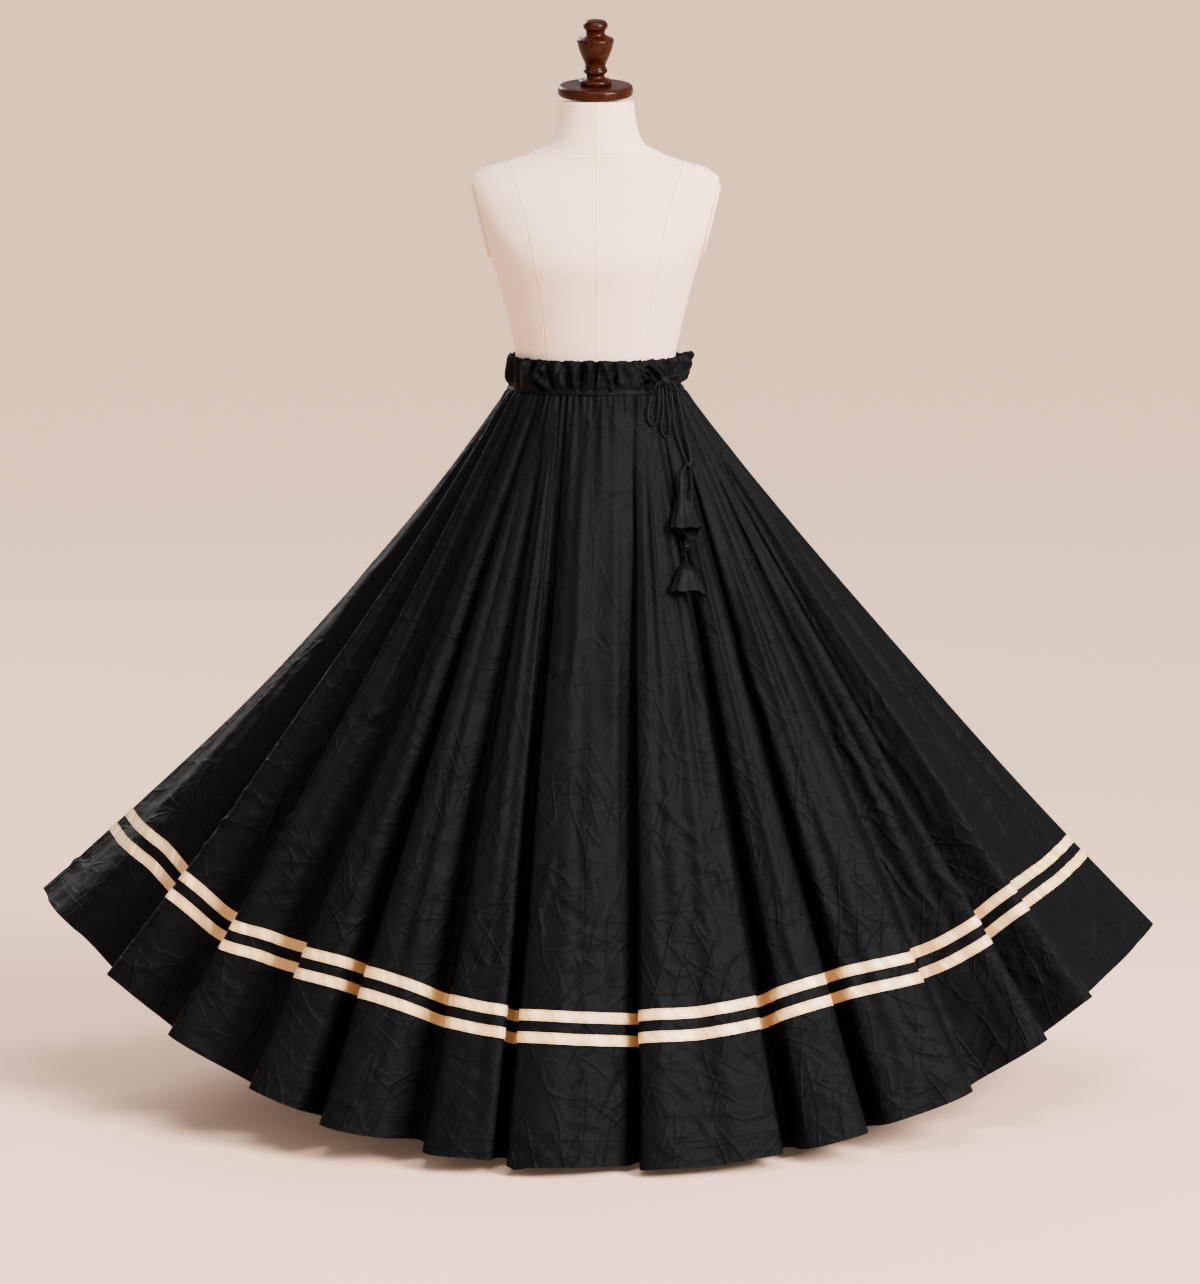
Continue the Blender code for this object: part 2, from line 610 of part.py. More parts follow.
def along_path(points, reach):
    """Mean of the foremost y of each point's neighbours, so that a cord spans the gathers."""
    count = len(points)
    for blend in (np.min, np.mean):
        padded = np.pad(points[:, 1], reach, mode="edge")
        shifted = [padded[shift:shift + count] for shift in range(2 * reach + 1)]
        points[:, 1] = blend(shifted, axis=0)
    return points


def leave_knot(points, knot):
    """Start the path at the knot's surface, heading straight out of it."""
    centre, radii = knot
    reach = np.linalg.norm((points - centre) / (radii + CORD_RADIUS), axis=1)
    points = points[int(np.argmax(reach > 1.0)):]
    heading = points[0] - centre
    heading /= np.linalg.norm(heading)
    surface = 1.0 / np.linalg.norm(heading / radii)
    return np.vstack([centre + heading * (surface + SEAM_GAP), points])


def add_cord(name, route, triangles, start_knot, end_knot=None, end_points=()):
    """A cord that lies on the cloth, from one knot to another or on to the given points."""
    route, _ = smooth_path(route, CORD_POINTS_PER_ROW * len(route))
    points = np.array([in_front(triangles, x, z, CORD_WINDOW, CORD_WINDOW, CORD_RADIUS, lift)
                       for x, z, lift in route])
    points = leave_knot(along_path(points, CORD_SMOOTHING), start_knot)
    if end_knot:
        points = leave_knot(points[::-1], end_knot)[::-1]
    run = np.r_[0.0, np.cumsum(np.linalg.norm(np.diff(points, axis=0), axis=1))]
    count = max(4, int(run[-1] / CORD_SEGMENT) + 1)
    even = np.linspace(0.0, run[-1], count)
    path = np.stack([np.interp(even, run, points[:, axis]) for axis in range(3)], axis=-1)
    path = np.vstack([path, *end_points])
    data = bpy.data.curves.new(name, "CURVE")
    data.dimensions = "3D"
    data.bevel_depth = CORD_RADIUS
    data.bevel_resolution = 2
    data.use_fill_caps = True
    spline = data.splines.new("POLY")
    spline.points.add(len(path) - 1)
    for point, place in zip(spline.points, path):
        point.co = (*place, 1.0)
    data.materials.append(finish(BLACK_COTTON))
    bpy.context.scene.collection.objects.link(bpy.data.objects.new(name, data))


def add_knot(name, knot, triangles):
    """A knot seated on the cloth. Returns its centre and radii."""
    radii = np.array([knot.half_width, knot.half_depth, knot.half_height])
    seat = []
    for turn in range(12):
        for share in (0.0, 0.3, 0.6, 0.85):
            angle = turn * math.pi / 6.0
            x = knot.x + radii[0] * share * math.cos(angle)
            z = knot.z + radii[2] * share * math.sin(angle)
            seat.append(cloth_y(triangles, x, z) - radii[1] * math.sqrt(1.0 - share**2))
    centre = np.array([knot.x, min(seat) - KNOT_GAP, knot.z])
    mesh = bmesh.new()
    shape = Matrix.Translation(centre) @ Matrix.Diagonal((*radii, 1.0))
    bmesh.ops.create_uvsphere(mesh, u_segments=10, v_segments=7, radius=1.0, matrix=shape)
    data = bpy.data.meshes.new(name)
    mesh.to_mesh(data)
    mesh.free()
    data.materials.append(finish(BLACK_COTTON))
    data.shade_smooth()
    bpy.context.scene.collection.objects.link(bpy.data.objects.new(name, data))
    return centre, radii


def add_rings(name, rings, material, sharp_deg=50):
    """A closed body through rings of points, each end closed by a fan."""
    rings = np.asarray(rings)
    rows, columns = rings.shape[:2]
    points = np.concatenate([rings.reshape(-1, 3), rings[:1].mean(axis=1), rings[-1:].mean(axis=1)])
    faces = []
    for column in range(columns):
        after = (column + 1) % columns
        for row in range(rows - 1):
            a, b = row * columns + column, row * columns + after
            faces.append((a, b, b + columns, a + columns))
        faces.append((after, column, rows * columns))
        last = (rows - 1) * columns
        faces.append((last + column, last + after, rows * columns + 1))
    made = add_object(name, points, faces, material, sharp_deg)
    mesh = bmesh.new()
    mesh.from_mesh(made.data)
    bmesh.ops.recalc_face_normals(mesh, faces=mesh.faces)
    bmesh.ops.triangulate(mesh, faces=mesh.faces)
    mesh.to_mesh(made.data)
    mesh.free()
    return made


def add_tassel(name, table, triangles):
    """A folded cloth tassel with soft flutes, in front of the cloth. Returns its top."""
    angle = np.linspace(0.0, 2.0 * np.pi, TASSEL_SIDES, endpoint=False)
    rings = []
    for number, ring in enumerate(table):
        deep = TASSEL_FLUTE_DEPTH * min(1.0, number / 4.0)
        flute = 1.0 - deep * (0.5 + 0.5 * np.cos(
            TASSEL_FLUTES * angle + number * TASSEL_FLUTE_TWIST))
        centre = in_front(triangles, ring.x, ring.z, ring.half_width, TASSEL_WINDOW_HEIGHT,
                          ring.half_depth, ring.lift)
        rings.append(np.column_stack([
            centre[0] + ring.half_width * flute * np.cos(angle),
            centre[1] + ring.half_depth * flute * np.sin(angle),
            np.full(TASSEL_SIDES, centre[2])]))
    add_rings(name, rings, BLACK_COTTON)
    return rings[0].mean(axis=0)


def build_drawstring(triangles):
    """The bow, its tails and the tassels, all lying on the cloth."""
    bow = add_knot("bow_knot", BOW_KNOT, triangles)
    tail = add_knot("tail_knot", TAIL_KNOT, triangles)
    lower = add_knot("lower_knot", LOWER_KNOT, triangles)
    top = add_tassel("tassel_upper", TASSEL_UPPER, triangles)
    add_tassel("tassel_lower", TASSEL_LOWER, triangles)
    add_cord("bow_loop_left", LOOP_LEFT, triangles, bow, bow)
    add_cord("bow_loop_right", LOOP_RIGHT, triangles, bow, bow)
    add_cord("tail_left", TAIL_LEFT, triangles, bow, tail)
    add_cord("tail_right", TAIL_RIGHT, triangles, bow, tail)
    add_cord("tail_lower", TAIL_LOWER, triangles, tail, lower)
    into_tassel = [top + (0.0, 0.0, rise) for rise in (3.0 * CORD_RADIUS, SEAM_GAP)]
    add_cord("tail_link", TAIL_LINK, triangles, tail, end_points=into_tassel)


def arm_plate_x(z):
    """How far out the inner face of an arm plate lies at a height."""
    share = (z - ARM_PLATE_LOW_Z) / (ARM_PLATE_HIGH_Z - ARM_PLATE_LOW_Z)
    return ARM_PLATE_LOW_X + share * (ARM_PLATE_HIGH_X - ARM_PLATE_LOW_X)


def build_torso():
    """The padded torso: level sections, cut flat where the arm plates lie."""
    angle = np.linspace(0.0, 2.0 * np.pi, TORSO_SIDES, endpoint=False)
    cos, sin = np.cos(angle), np.sin(angle)
    rings = []
    for section in TORSO_SECTIONS:
        power = 2.0 / section.squareness
        x = section.half_width * np.sign(cos) * np.abs(cos) ** power
        depth = np.where(sin < 0.0, section.front, section.back)
        y = depth * np.sign(sin) * np.abs(sin) ** power
        if ARM_PLATE_LOW_Z <= section.z <= ARM_PLATE_HIGH_Z:
            limit = arm_plate_x(section.z)
            x = np.clip(x, -limit, limit)
        rings.append(np.column_stack([x, y, np.full(TORSO_SIDES, section.z)]))
    add_rings("torso", rings, LINEN, sharp_deg=40)


def build_arm_plates():
    """A flat oval plate over each armhole."""
    rise = ARM_PLATE_HIGH_Z - ARM_PLATE_LOW_Z
    run = ARM_PLATE_HIGH_X - ARM_PLATE_LOW_X
    middle_x = ARM_PLATE_LOW_X + run / 2.0
    middle_z = ARM_PLATE_LOW_Z + rise / 2.0
    half_length = math.hypot(rise, run) / 2.0 * ARM_PLATE_FIT
    lean = math.atan2(run, rise)
    angle = np.linspace(0.0, 2.0 * np.pi, ARM_PLATE_SIDES, endpoint=False)
    for name, side in (("arm_plate_left", -1.0), ("arm_plate_right", 1.0)):
        rings = []
        for out, share in ((ARM_PLATE_GAP, 1.0), (ARM_PLATE_GAP + ARM_PLATE_THICKNESS * 0.7, 1.0),
                           (ARM_PLATE_GAP + ARM_PLATE_THICKNESS, 0.95)):
            along = half_length * share * np.sin(angle)
            x = middle_x + along * math.sin(lean) + out * math.cos(lean)
            z = middle_z + along * math.cos(lean) - out * math.sin(lean)
            y = ARM_PLATE_BACK + ARM_PLATE_HALF_DEPTH * share * np.cos(angle)
            rings.append(np.column_stack([side * x, y, z]))
        add_rings(name, rings, LINEN)


def add_turned(name, profile, sides, material, matrix):
    """A turned body: the profile's rings, stood up by the matrix."""
    angle = np.linspace(0.0, 2.0 * np.pi, sides, endpoint=False)
    rings = [np.column_stack([point.radius * np.cos(angle), point.radius * np.sin(angle),
                              np.full(sides, point.height)]) for point in profile]
    made = add_rings(name, rings, material, sharp_deg=35)
    made.data.transform(matrix)
    return made


def build_neck():
    """The wooden neck cap and the finial on it."""
    lean = Matrix.Translation(NECK_PIVOT) @ Matrix.Rotation(NECK_LEAN, 4, "X")
    rise = CAP_RADIUS_DROP
    add_turned("neck_cap", CAP, 32, WOOD, lean @ Matrix.Translation((0.0, 0.0, rise)))
    top = rise + CAP[-1].height + SEAM_GAP
    add_turned("finial", FINIAL, 24, WOOD, lean @ Matrix.Translation((0.0, 0.0, top)))


def build_stand():
    """The wooden pole and its round base."""
    add_turned("base", BASE, 36, WOOD, Matrix.Identity(4))
    pole = (ProfilePoint(POLE_RADIUS, BASE_HEIGHT + SEAM_GAP),
            ProfilePoint(POLE_RADIUS, TORSO_SECTIONS[0].z - SEAM_GAP))
    add_turned("pole", pole, 20, WOOD, Matrix.Identity(4))


def main():
    for existing in list(bpy.data.objects):
        bpy.data.objects.remove(existing)
    strands = all_strands()
    cloth = build_skirt(strands)
    casing = build_casing(strands)
    build_drawstring(front_triangles([cloth, casing]))
    build_torso()
    build_arm_plates()
    build_neck()
    build_stand()


main()
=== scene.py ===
"""Looks of a gored maxi skirt that stands on a limbless dress form.

Metres, +Z up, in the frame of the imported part: the origin is the centre of the stand's
underside, the front looks along -Y and +X is the viewer's right.
"""

import logging
import math
from collections.abc import Callable
from dataclasses import dataclass
from enum import Enum
from typing import NamedTuple

import bmesh
import bpy
import numpy as np
from bpy.types import Material, Mesh, NodeSocket, Object
from mathutils import Matrix, Vector
from mathutils.bvhtree import BVHTree


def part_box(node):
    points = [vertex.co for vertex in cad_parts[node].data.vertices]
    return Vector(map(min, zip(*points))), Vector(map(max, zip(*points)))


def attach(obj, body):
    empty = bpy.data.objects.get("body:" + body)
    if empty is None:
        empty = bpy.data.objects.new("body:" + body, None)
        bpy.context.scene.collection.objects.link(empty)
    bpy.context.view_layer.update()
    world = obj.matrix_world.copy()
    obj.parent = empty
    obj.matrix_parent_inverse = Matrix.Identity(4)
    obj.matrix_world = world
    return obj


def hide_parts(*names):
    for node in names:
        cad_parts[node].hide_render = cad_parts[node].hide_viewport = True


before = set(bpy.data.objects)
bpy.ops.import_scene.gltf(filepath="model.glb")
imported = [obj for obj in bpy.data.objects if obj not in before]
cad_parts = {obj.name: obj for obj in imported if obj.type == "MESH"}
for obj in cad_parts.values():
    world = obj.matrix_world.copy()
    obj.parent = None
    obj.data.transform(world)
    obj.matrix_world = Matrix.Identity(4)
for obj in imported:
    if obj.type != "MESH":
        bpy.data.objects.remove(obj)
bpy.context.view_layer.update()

LOG = logging.getLogger("skirt")
Array = np.ndarray
Pair = tuple[float, float]
Triple = tuple[float, float, float]
UV_SCALE = 0.8              # units of the UV map to a metre of cloth
SEAM_GAP = 0.0003
CURVE_STEPS = 2400          # points taken from a curve round half the hem
TURNED_SIDES = 96


def table(kind: type, *rows: tuple) -> tuple:
    """The rows of a table, each as a named tuple of its kind."""
    return tuple(kind(*row) for row in rows)


class Half(Enum):
    """The front or the back of the skirt, with the sign of its y."""

    FRONT = -1.0
    BACK = 1.0


class Fold(NamedTuple):
    """A point of the hem's curve, from the left side fold to the right one: the top or the
    edge of a ridge, the bottom of a valley, or the wall between them."""

    hem_x: float
    reach: float            # outwards from the hem's oval, negative for a valley
    length: float           # cloth from the waist seam to the hem
    waist_deg: float        # where it starts on the waist, 0 at the middle, -90 at the left


LEFT_TIP_X, RIGHT_TIP_X = -0.808, 0.816
FRONT_FOLDS = table(
    Fold,
    (LEFT_TIP_X, 0.0, 1.034, -90), (-0.736, 0.006, 0.996, -85), (-0.705, -0.03, 1.005, -80),
    (-0.66, 0.03, 1.0, -77), (-0.612, -0.036, 1.018, -69), (-0.57, 0.032, 1.02, -66),
    (-0.492, -0.04, 1.036, -52), (-0.456, 0.032, 1.04, -49), (-0.409, 0.014, 1.045, -45),
    (-0.388, -0.044, 1.045, -42), (-0.36, 0.032, 1.058, -39), (-0.294, 0.012, 1.056, -35),
    (-0.246, -0.042, 1.048, -32), (-0.222, 0.024, 1.067, -30), (-0.16, 0.021, 1.066, -28.5),
    (-0.141, 0.018, 1.066, -28), (-0.139, -0.024, 1.06, -27), (-0.128, -0.044, 1.058, -25),
    (-0.117, -0.026, 1.061, -22), (-0.113, 0.02, 1.073, -20), (-0.088, 0.027, 1.073, -15),
    (-0.004, 0.012, 1.069, 5), (0.044, -0.016, 1.066, 20), (0.067, -0.04, 1.064, 30),
    (0.063, 0.02, 1.077, 34), (0.088, 0.029, 1.077, 36), (0.154, 0.022, 1.076, 39),
    (0.228, 0.019, 1.071, 42.5), (0.25, 0.012, 1.07, 44), (0.252, -0.024, 1.064, 45.5),
    (0.276, -0.048, 1.06, 48.5), (0.291, 0.01, 1.069, 51.5), (0.31, 0.018, 1.069, 53),
    (0.366, 0.014, 1.065, 56), (0.37, -0.024, 1.06, 58), (0.39, -0.046, 1.056, 60),
    (0.404, 0.002, 1.061, 63), (0.426, 0.011, 1.061, 65), (0.497, 0.03, 1.059, 69),
    (0.544, -0.034, 1.054, 71), (0.607, 0.03, 1.044, 76), (0.65, -0.03, 1.045, 78),
    (0.672, 0.026, 1.034, 81), (0.714, -0.018, 1.042, 83), (RIGHT_TIP_X, 0.0, 1.079, 90),
)
BACK_FOLDS = table(
    Fold,
    (LEFT_TIP_X, 0.0, 1.034, -90), (-0.744, 0.01, 1.034, -84), (-0.684, -0.034, 1.034, -79),
    (-0.65, 0.03, 1.036, -75), (-0.59, 0.01, 1.04, -69), (-0.54, -0.038, 1.045, -65),
    (-0.505, 0.03, 1.048, -61), (-0.44, 0.012, 1.052, -54), (-0.385, -0.042, 1.056, -49),
    (-0.35, 0.03, 1.058, -45), (-0.27, 0.016, 1.062, -36), (-0.215, -0.044, 1.064, -31),
    (-0.178, 0.026, 1.066, -26), (-0.09, 0.02, 1.068, -14), (-0.04, -0.046, 1.068, -8),
    (0.0, 0.028, 1.07, -2), (0.1, 0.018, 1.07, 12), (0.15, -0.046, 1.068, 20),
    (0.19, 0.026, 1.066, 26), (0.27, 0.016, 1.064, 36), (0.325, -0.042, 1.06, 43),
    (0.362, 0.028, 1.06, 48), (0.44, 0.014, 1.058, 56), (0.492, -0.04, 1.056, 61),
    (0.528, 0.028, 1.056, 65), (0.592, 0.01, 1.058, 71), (0.64, -0.034, 1.06, 75),
    (0.676, 0.026, 1.064, 79), (0.744, 0.008, 1.07, 84), (RIGHT_TIP_X, 0.0, 1.079, 90),
)


class SoftFold(NamedTuple):
    """A low, long rise or hollow that runs down a panel between the main folds."""

    hem_x: float
    top: float              # share of the skirt's length where it starts
    bottom: float
    half_width: float       # at the hem
    height: float


SOFT_FOLDS = table(
    SoftFold,
    (-0.775, 0.25, 0.95, 0.02, 0.004), (-0.69, 0.3, 0.9, 0.014, 0.003),
    (-0.64, 0.1, 0.8, 0.014, -0.003), (-0.54, 0.2, 1.1, 0.018, 0.004),
    (-0.515, 0.05, 0.6, 0.012, -0.003), (-0.43, 0.15, 0.95, 0.014, 0.003),
    (-0.33, 0.1, 0.9, 0.014, -0.003), (-0.31, 0.35, 1.1, 0.012, 0.003),
    (-0.19, 0.05, 0.75, 0.013, 0.003), (-0.17, 0.45, 1.1, 0.01, -0.002),
    (-0.06, 0.04, 0.55, 0.014, 0.0035), (-0.03, 0.3, 1.1, 0.016, -0.0025),
    (0.03, 0.08, 0.8, 0.014, 0.003), (0.11, 0.1, 1.1, 0.016, -0.003),
    (0.135, 0.04, 0.5, 0.01, 0.003), (0.19, 0.3, 1.1, 0.018, 0.0035),
    (0.215, 0.08, 0.7, 0.012, -0.003), (0.33, 0.1, 0.9, 0.01, 0.003),
    (0.38, 0.05, 0.6, 0.012, -0.003), (0.45, 0.2, 1.1, 0.014, 0.004),
    (0.475, 0.08, 0.6, 0.012, -0.003), (0.52, 0.3, 0.9, 0.012, 0.003),
    (0.575, 0.1, 0.8, 0.016, 0.004), (0.59, 0.4, 1.1, 0.012, -0.003),
    (0.64, 0.1, 0.7, 0.012, 0.003), (0.695, 0.2, 0.95, 0.012, 0.003),
    (0.76, 0.15, 0.9, 0.018, 0.004), (0.79, 0.4, 1.1, 0.01, -0.003),
)


class Crease(NamedTuple):
    """A pressed-in crease as the front view shows it, in the columns and rows of a
    1200 by 1284 picture. Positive heights stand out of the cloth."""

    column_a: float
    row_a: float
    column_b: float
    row_b: float
    bend: float             # how far its middle lies to the side, in columns
    half_width: float       # metres
    height: float           # metres


CREASES = table(
    Crease,
    (655, 791, 700, 842, 4, 0.005, 0.0018), (700, 842, 731, 916, -6, 0.0055, 0.0018),
    (553, 847, 534, 925, -3, 0.005, 0.0016), (541, 884, 606, 937, 4, 0.005, -0.0014),
    (581, 812, 600, 912, 3, 0.005, 0.0012), (550, 803, 578, 781, 2, 0.005, -0.0012),
    (464, 919, 516, 916, 3, 0.0055, 0.0018), (456, 947, 516, 934, -2, 0.005, 0.0016),
    (469, 950, 484, 972, 1, 0.005, -0.0012), (475, 983, 516, 975, 2, 0.005, 0.0012),
    (534, 937, 625, 950, -3, 0.0055, 0.0016), (650, 903, 700, 875, 2, 0.005, 0.0014),
    (666, 944, 731, 912, -3, 0.006, 0.0018), (690, 900, 712, 944, 2, 0.005, -0.0014),
    (712, 928, 747, 931, 2, 0.005, 0.0012), (648, 970, 690, 981, -2, 0.005, 0.0012),
    (666, 956, 753, 983, 3, 0.0055, -0.0014), (700, 975, 709, 1003, 0, 0.0045, 0.0012),
    (519, 1128, 556, 1162, 4, 0.006, 0.002), (569, 1123, 612, 1131, -2, 0.005, 0.0014),
    (600, 1128, 637, 1052, -4, 0.006, -0.0018), (650, 1050, 706, 1109, 3, 0.0055, 0.0014),
    (672, 1115, 775, 1115, -4, 0.006, 0.002), (647, 1137, 669, 1162, 2, 0.006, -0.0018),
    (697, 1115, 712, 1144, -2, 0.005, 0.0014), (659, 1081, 737, 1087, 3, 0.0055, 0.0014),
    (675, 1037, 731, 1081, -3, 0.005, 0.0012), (440, 1059, 494, 1084, 3, 0.0055, 0.0014),
    (437, 1106, 472, 1119, -2, 0.0055, 0.0016), (456, 1043, 472, 1053, 1, 0.005, -0.0012),
    (335, 735, 394, 705, 2, 0.005, 0.0016), (302, 757, 335, 740, -1, 0.005, 0.0014),
    (272, 819, 305, 815, 2, 0.0055, 0.0018), (264, 827, 310, 845, 3, 0.006, 0.002),
    (248, 862, 310, 862, -3, 0.0065, 0.0022), (226, 877, 286, 889, 2, 0.0055, 0.0018),
    (248, 907, 316, 908, -2, 0.006, 0.0018), (216, 822, 245, 819, 1, 0.0055, 0.0016),
    (224, 797, 245, 816, 1, 0.005, -0.0014), (191, 835, 234, 859, 2, 0.0055, 0.0016),
    (156, 827, 202, 819, -2, 0.006, 0.0016), (132, 816, 180, 795, 2, 0.005, 0.0012),
    (67, 851, 91, 873, 2, 0.006, 0.0016), (83, 930, 108, 935, 1, 0.006, -0.0018),
    (145, 924, 159, 959, 2, 0.006, 0.0018), (175, 995, 216, 986, 1, 0.0055, 0.0014),
    (178, 978, 213, 970, 1, 0.0055, 0.0016), (191, 1032, 213, 1041, 1, 0.0055, -0.0014),
    (202, 957, 245, 997, 3, 0.0055, 0.0016), (256, 1051, 321, 1028, 2, 0.0055, 0.0014),
    (299, 995, 332, 1040, 3, 0.0055, 0.0016), (267, 1076, 297, 1089, 1, 0.0055, -0.0014),
    (326, 1089, 362, 1108, 2, 0.006, 0.0016), (345, 1005, 372, 1024, 1, 0.005, 0.0014),
    (350, 1034, 364, 1051, 1, 0.005, -0.0012), (832, 727, 868, 770, 3, 0.0055, 0.0018),
    (868, 770, 916, 826, -4, 0.0055, 0.0018), (859, 703, 895, 757, 4, 0.005, 0.0016),
    (895, 757, 934, 823, -4, 0.0055, 0.0016), (871, 880, 946, 856, -4, 0.0055, 0.0016),
    (844, 907, 880, 886, 2, 0.0055, 0.0016), (895, 865, 940, 921, 3, 0.005, -0.0014),
    (928, 862, 976, 900, 3, 0.0055, 0.0018), (952, 868, 970, 906, 1, 0.005, 0.0014),
    (946, 847, 1005, 838, -2, 0.005, 0.0014), (901, 1032, 958, 1068, 3, 0.0055, 0.0016),
    (922, 1053, 952, 1068, 1, 0.005, -0.0012), (901, 1014, 928, 1023, 2, 0.005, 0.0012),
    (988, 1011, 1023, 999, 1, 0.0055, 0.0014), (1059, 921, 1092, 915, 1, 0.005, 0.0014),
    (1008, 948, 1023, 987, 2, 0.0055, 0.0016), (1029, 954, 1059, 987, 2, 0.005, -0.0014),
    (1086, 880, 1131, 933, 2, 0.006, 0.0018), (970, 951, 1017, 1032, -3, 0.006, -0.0018),
    (778, 910, 799, 978, 2, 0.005, 0.0014), (817, 1092, 862, 1113, 1, 0.0055, 0.0014),
    (398, 707, 337, 730, 2, 0.005, 0.0014), (230, 784, 306, 830, -3, 0.0055, 0.0014),
    (727, 455, 826, 592, 3, 0.006, 0.0016), (690, 668, 708, 716, 2, 0.005, 0.0014),
    (582, 624, 566, 706, 2, 0.005, 0.0012), (545, 560, 530, 640, 2, 0.005, -0.0012),
    (660, 560, 674, 650, 2, 0.005, 0.0012), (740, 640, 770, 720, 2, 0.005, 0.0014),
    (380, 560, 330, 640, 2, 0.0055, 0.0014), (440, 640, 410, 740, -2, 0.005, 0.0012),
)


class RibbonPlace(NamedTuple):
    """How far above the hem a ribbon's lower and upper edges run."""

    name: str
    low: float
    high: float


RIBBON_WIDTH = 0.0150
RIBBON_SPACING = 0.0154
RIBBONS = (
    RibbonPlace("upper_ribbon", RIBBON_WIDTH + RIBBON_SPACING, 2 * RIBBON_WIDTH + RIBBON_SPACING),
    RibbonPlace("lower_ribbon", 0.0, RIBBON_WIDTH),
)


class BandRow(NamedTuple):
    """A level line of the waistband, from its seam up to the frilled edge."""

    name: str
    rise: float
    out: float
    pleat: float            # depth of its puckers
    bunch: float            # how far the gathered-up cloth stands out at the right side


BAND_ROWS = table(
    BandRow,
    ("lapped_edge", -0.0014, 0.0032, 0.0008, 0.0), ("stitch_line", 0.004, 0.0008, 0.0014, 0.001),
    ("lower_puff", 0.011, 0.0024, 0.0038, 0.002), ("cord_channel", 0.0225, 0.002, 0.0048, 0.006),
    ("upper_puff", 0.032, 0.0016, 0.005, 0.012), ("frill", 0.04, 0.0006, 0.005, 0.014),
    ("frill_edge", 0.046, -0.0008, 0.0046, 0.01),
)
BAND_CREASES = table(
    Crease,
    (533, 375, 545, 366, 0, 0.004, 0.003), (532, 361, 531, 377, 0, 0.0035, -0.0035),
    (533, 375, 550, 389, 0, 0.004, 0.003), (531, 379, 548, 393, 0, 0.003, -0.0035),
    (545, 365, 552, 391, -1, 0.003, -0.0035), (554, 362, 561, 387, 0, 0.0055, 0.0034),
    (565, 362, 568, 390, 0, 0.004, -0.003), (573, 362, 577, 388, 0, 0.005, 0.0032),
    (582, 362, 579, 394, 1, 0.0035, -0.0032), (589, 362, 590, 388, -1, 0.0045, 0.0026),
    (596, 362, 592, 394, 1, 0.0035, -0.0028), (602, 360, 610, 383, -1, 0.005, 0.0028),
    (615, 372, 609, 385, 0, 0.0025, 0.0026), (609, 385, 613, 394, 0, 0.0022, 0.0022),
    (613, 362, 617, 388, 2, 0.0035, -0.003), (624, 362, 631, 378, -1, 0.005, 0.003),
    (645, 368, 638, 392, -6, 0.0028, -0.003), (649, 370, 643, 391, -5, 0.003, 0.0022),
    (640, 389, 658, 382, 0, 0.003, 0.0028), (646, 367, 658, 379, -1, 0.0028, -0.003),
    (656, 363, 662, 375, 0, 0.003, 0.0026), (666, 377, 687, 372, 1, 0.0032, 0.0028),
    (668, 381, 687, 384, 0, 0.003, -0.0028), (662, 373, 673, 363, 0, 0.003, 0.0026),
    (667, 372, 682, 363, 0, 0.0028, -0.0026), (513, 362, 511, 392, 1, 0.004, -0.0022),
    (522, 362, 524, 390, -1, 0.0045, 0.0022), (664, 380, 660, 362, 0, 0.0022, 0.0034),
    (665, 380, 668, 361, 0, 0.0022, -0.0034), (665, 381, 677, 364, 1, 0.0024, 0.0034),
    (666, 383, 688, 376, 2, 0.0026, 0.0034), (662, 382, 641, 374, -2, 0.0026, 0.0032),
    (661, 384, 640, 386, 2, 0.0026, -0.0032), (663, 380, 648, 364, 1, 0.0024, 0.003),
)


class Knot(NamedTuple):
    """A tight knot that lies on the cloth, named for the solid whose place it takes."""

    node: str
    turns: float            # windings of the cord that show on it
    relief: float
    stretch: tuple = (1.0, 1.0, 1.0)
    shift: tuple = (0.0, 0.0, 0.0)
    square: float = 0.0     # 0 for a round knot, 1 for a folded diamond


class RoutePoint(NamedTuple):
    """A point of a cord, just in front of the cloth: its place and its gap to the cloth."""

    x: float
    z: float
    lift: float


KNOTS = {knot.node: knot for knot in (
    Knot("bow_knot", 2.0, 0.30),
    Knot("tail_knot", 1.5, 0.26),
    Knot("lower_knot", 0.6, 0.42, (1.25, 1.2, 1.65), (-0.0040, 0.0, 0.0110), 1.0),
)}
LOOP_LEFT = table(
    RoutePoint,
    (0.085, 1.039, 0.004), (0.0806, 1.03, 0.002), (0.0762, 1.016, 0.0008), (0.0726, 0.998, 0.0008),
    (0.0745, 0.987, 0.0008), (0.0795, 0.9822, 0.0008), (0.0846, 0.9855, 0.0008),
    (0.0872, 0.998, 0.001), (0.0882, 1.013, 0.0014), (0.0884, 1.025, 0.0024),
    (0.0879, 1.0348, 0.004),
)
LOOP_RIGHT = table(
    RoutePoint,
    (0.0925, 1.0324, 0.0045), (0.0936, 1.022, 0.0024), (0.0942, 1.006, 0.0014),
    (0.0922, 0.986, 0.001), (0.0925, 0.972, 0.0008), (0.0968, 0.9655, 0.0008),
    (0.1022, 0.97, 0.0008), (0.103, 0.985, 0.0008), (0.1008, 1.005, 0.001),
    (0.0986, 1.022, 0.0024), (0.0974, 1.0323, 0.0045),
)
TAIL_LEFT = table(
    RoutePoint,
    (0.1026, 1.0352, 0.0045), (0.1054, 1.025, 0.003), (0.1074, 1.004, 0.0014),
    (0.1092, 0.985, 0.001), (0.113, 0.968, 0.0008), (0.118, 0.952, 0.0008),
    (0.1228, 0.939, 0.0014), (0.1262, 0.93, 0.003), (0.1244, 0.9245, 0.005),
    (0.1206, 0.919, 0.0064),
)
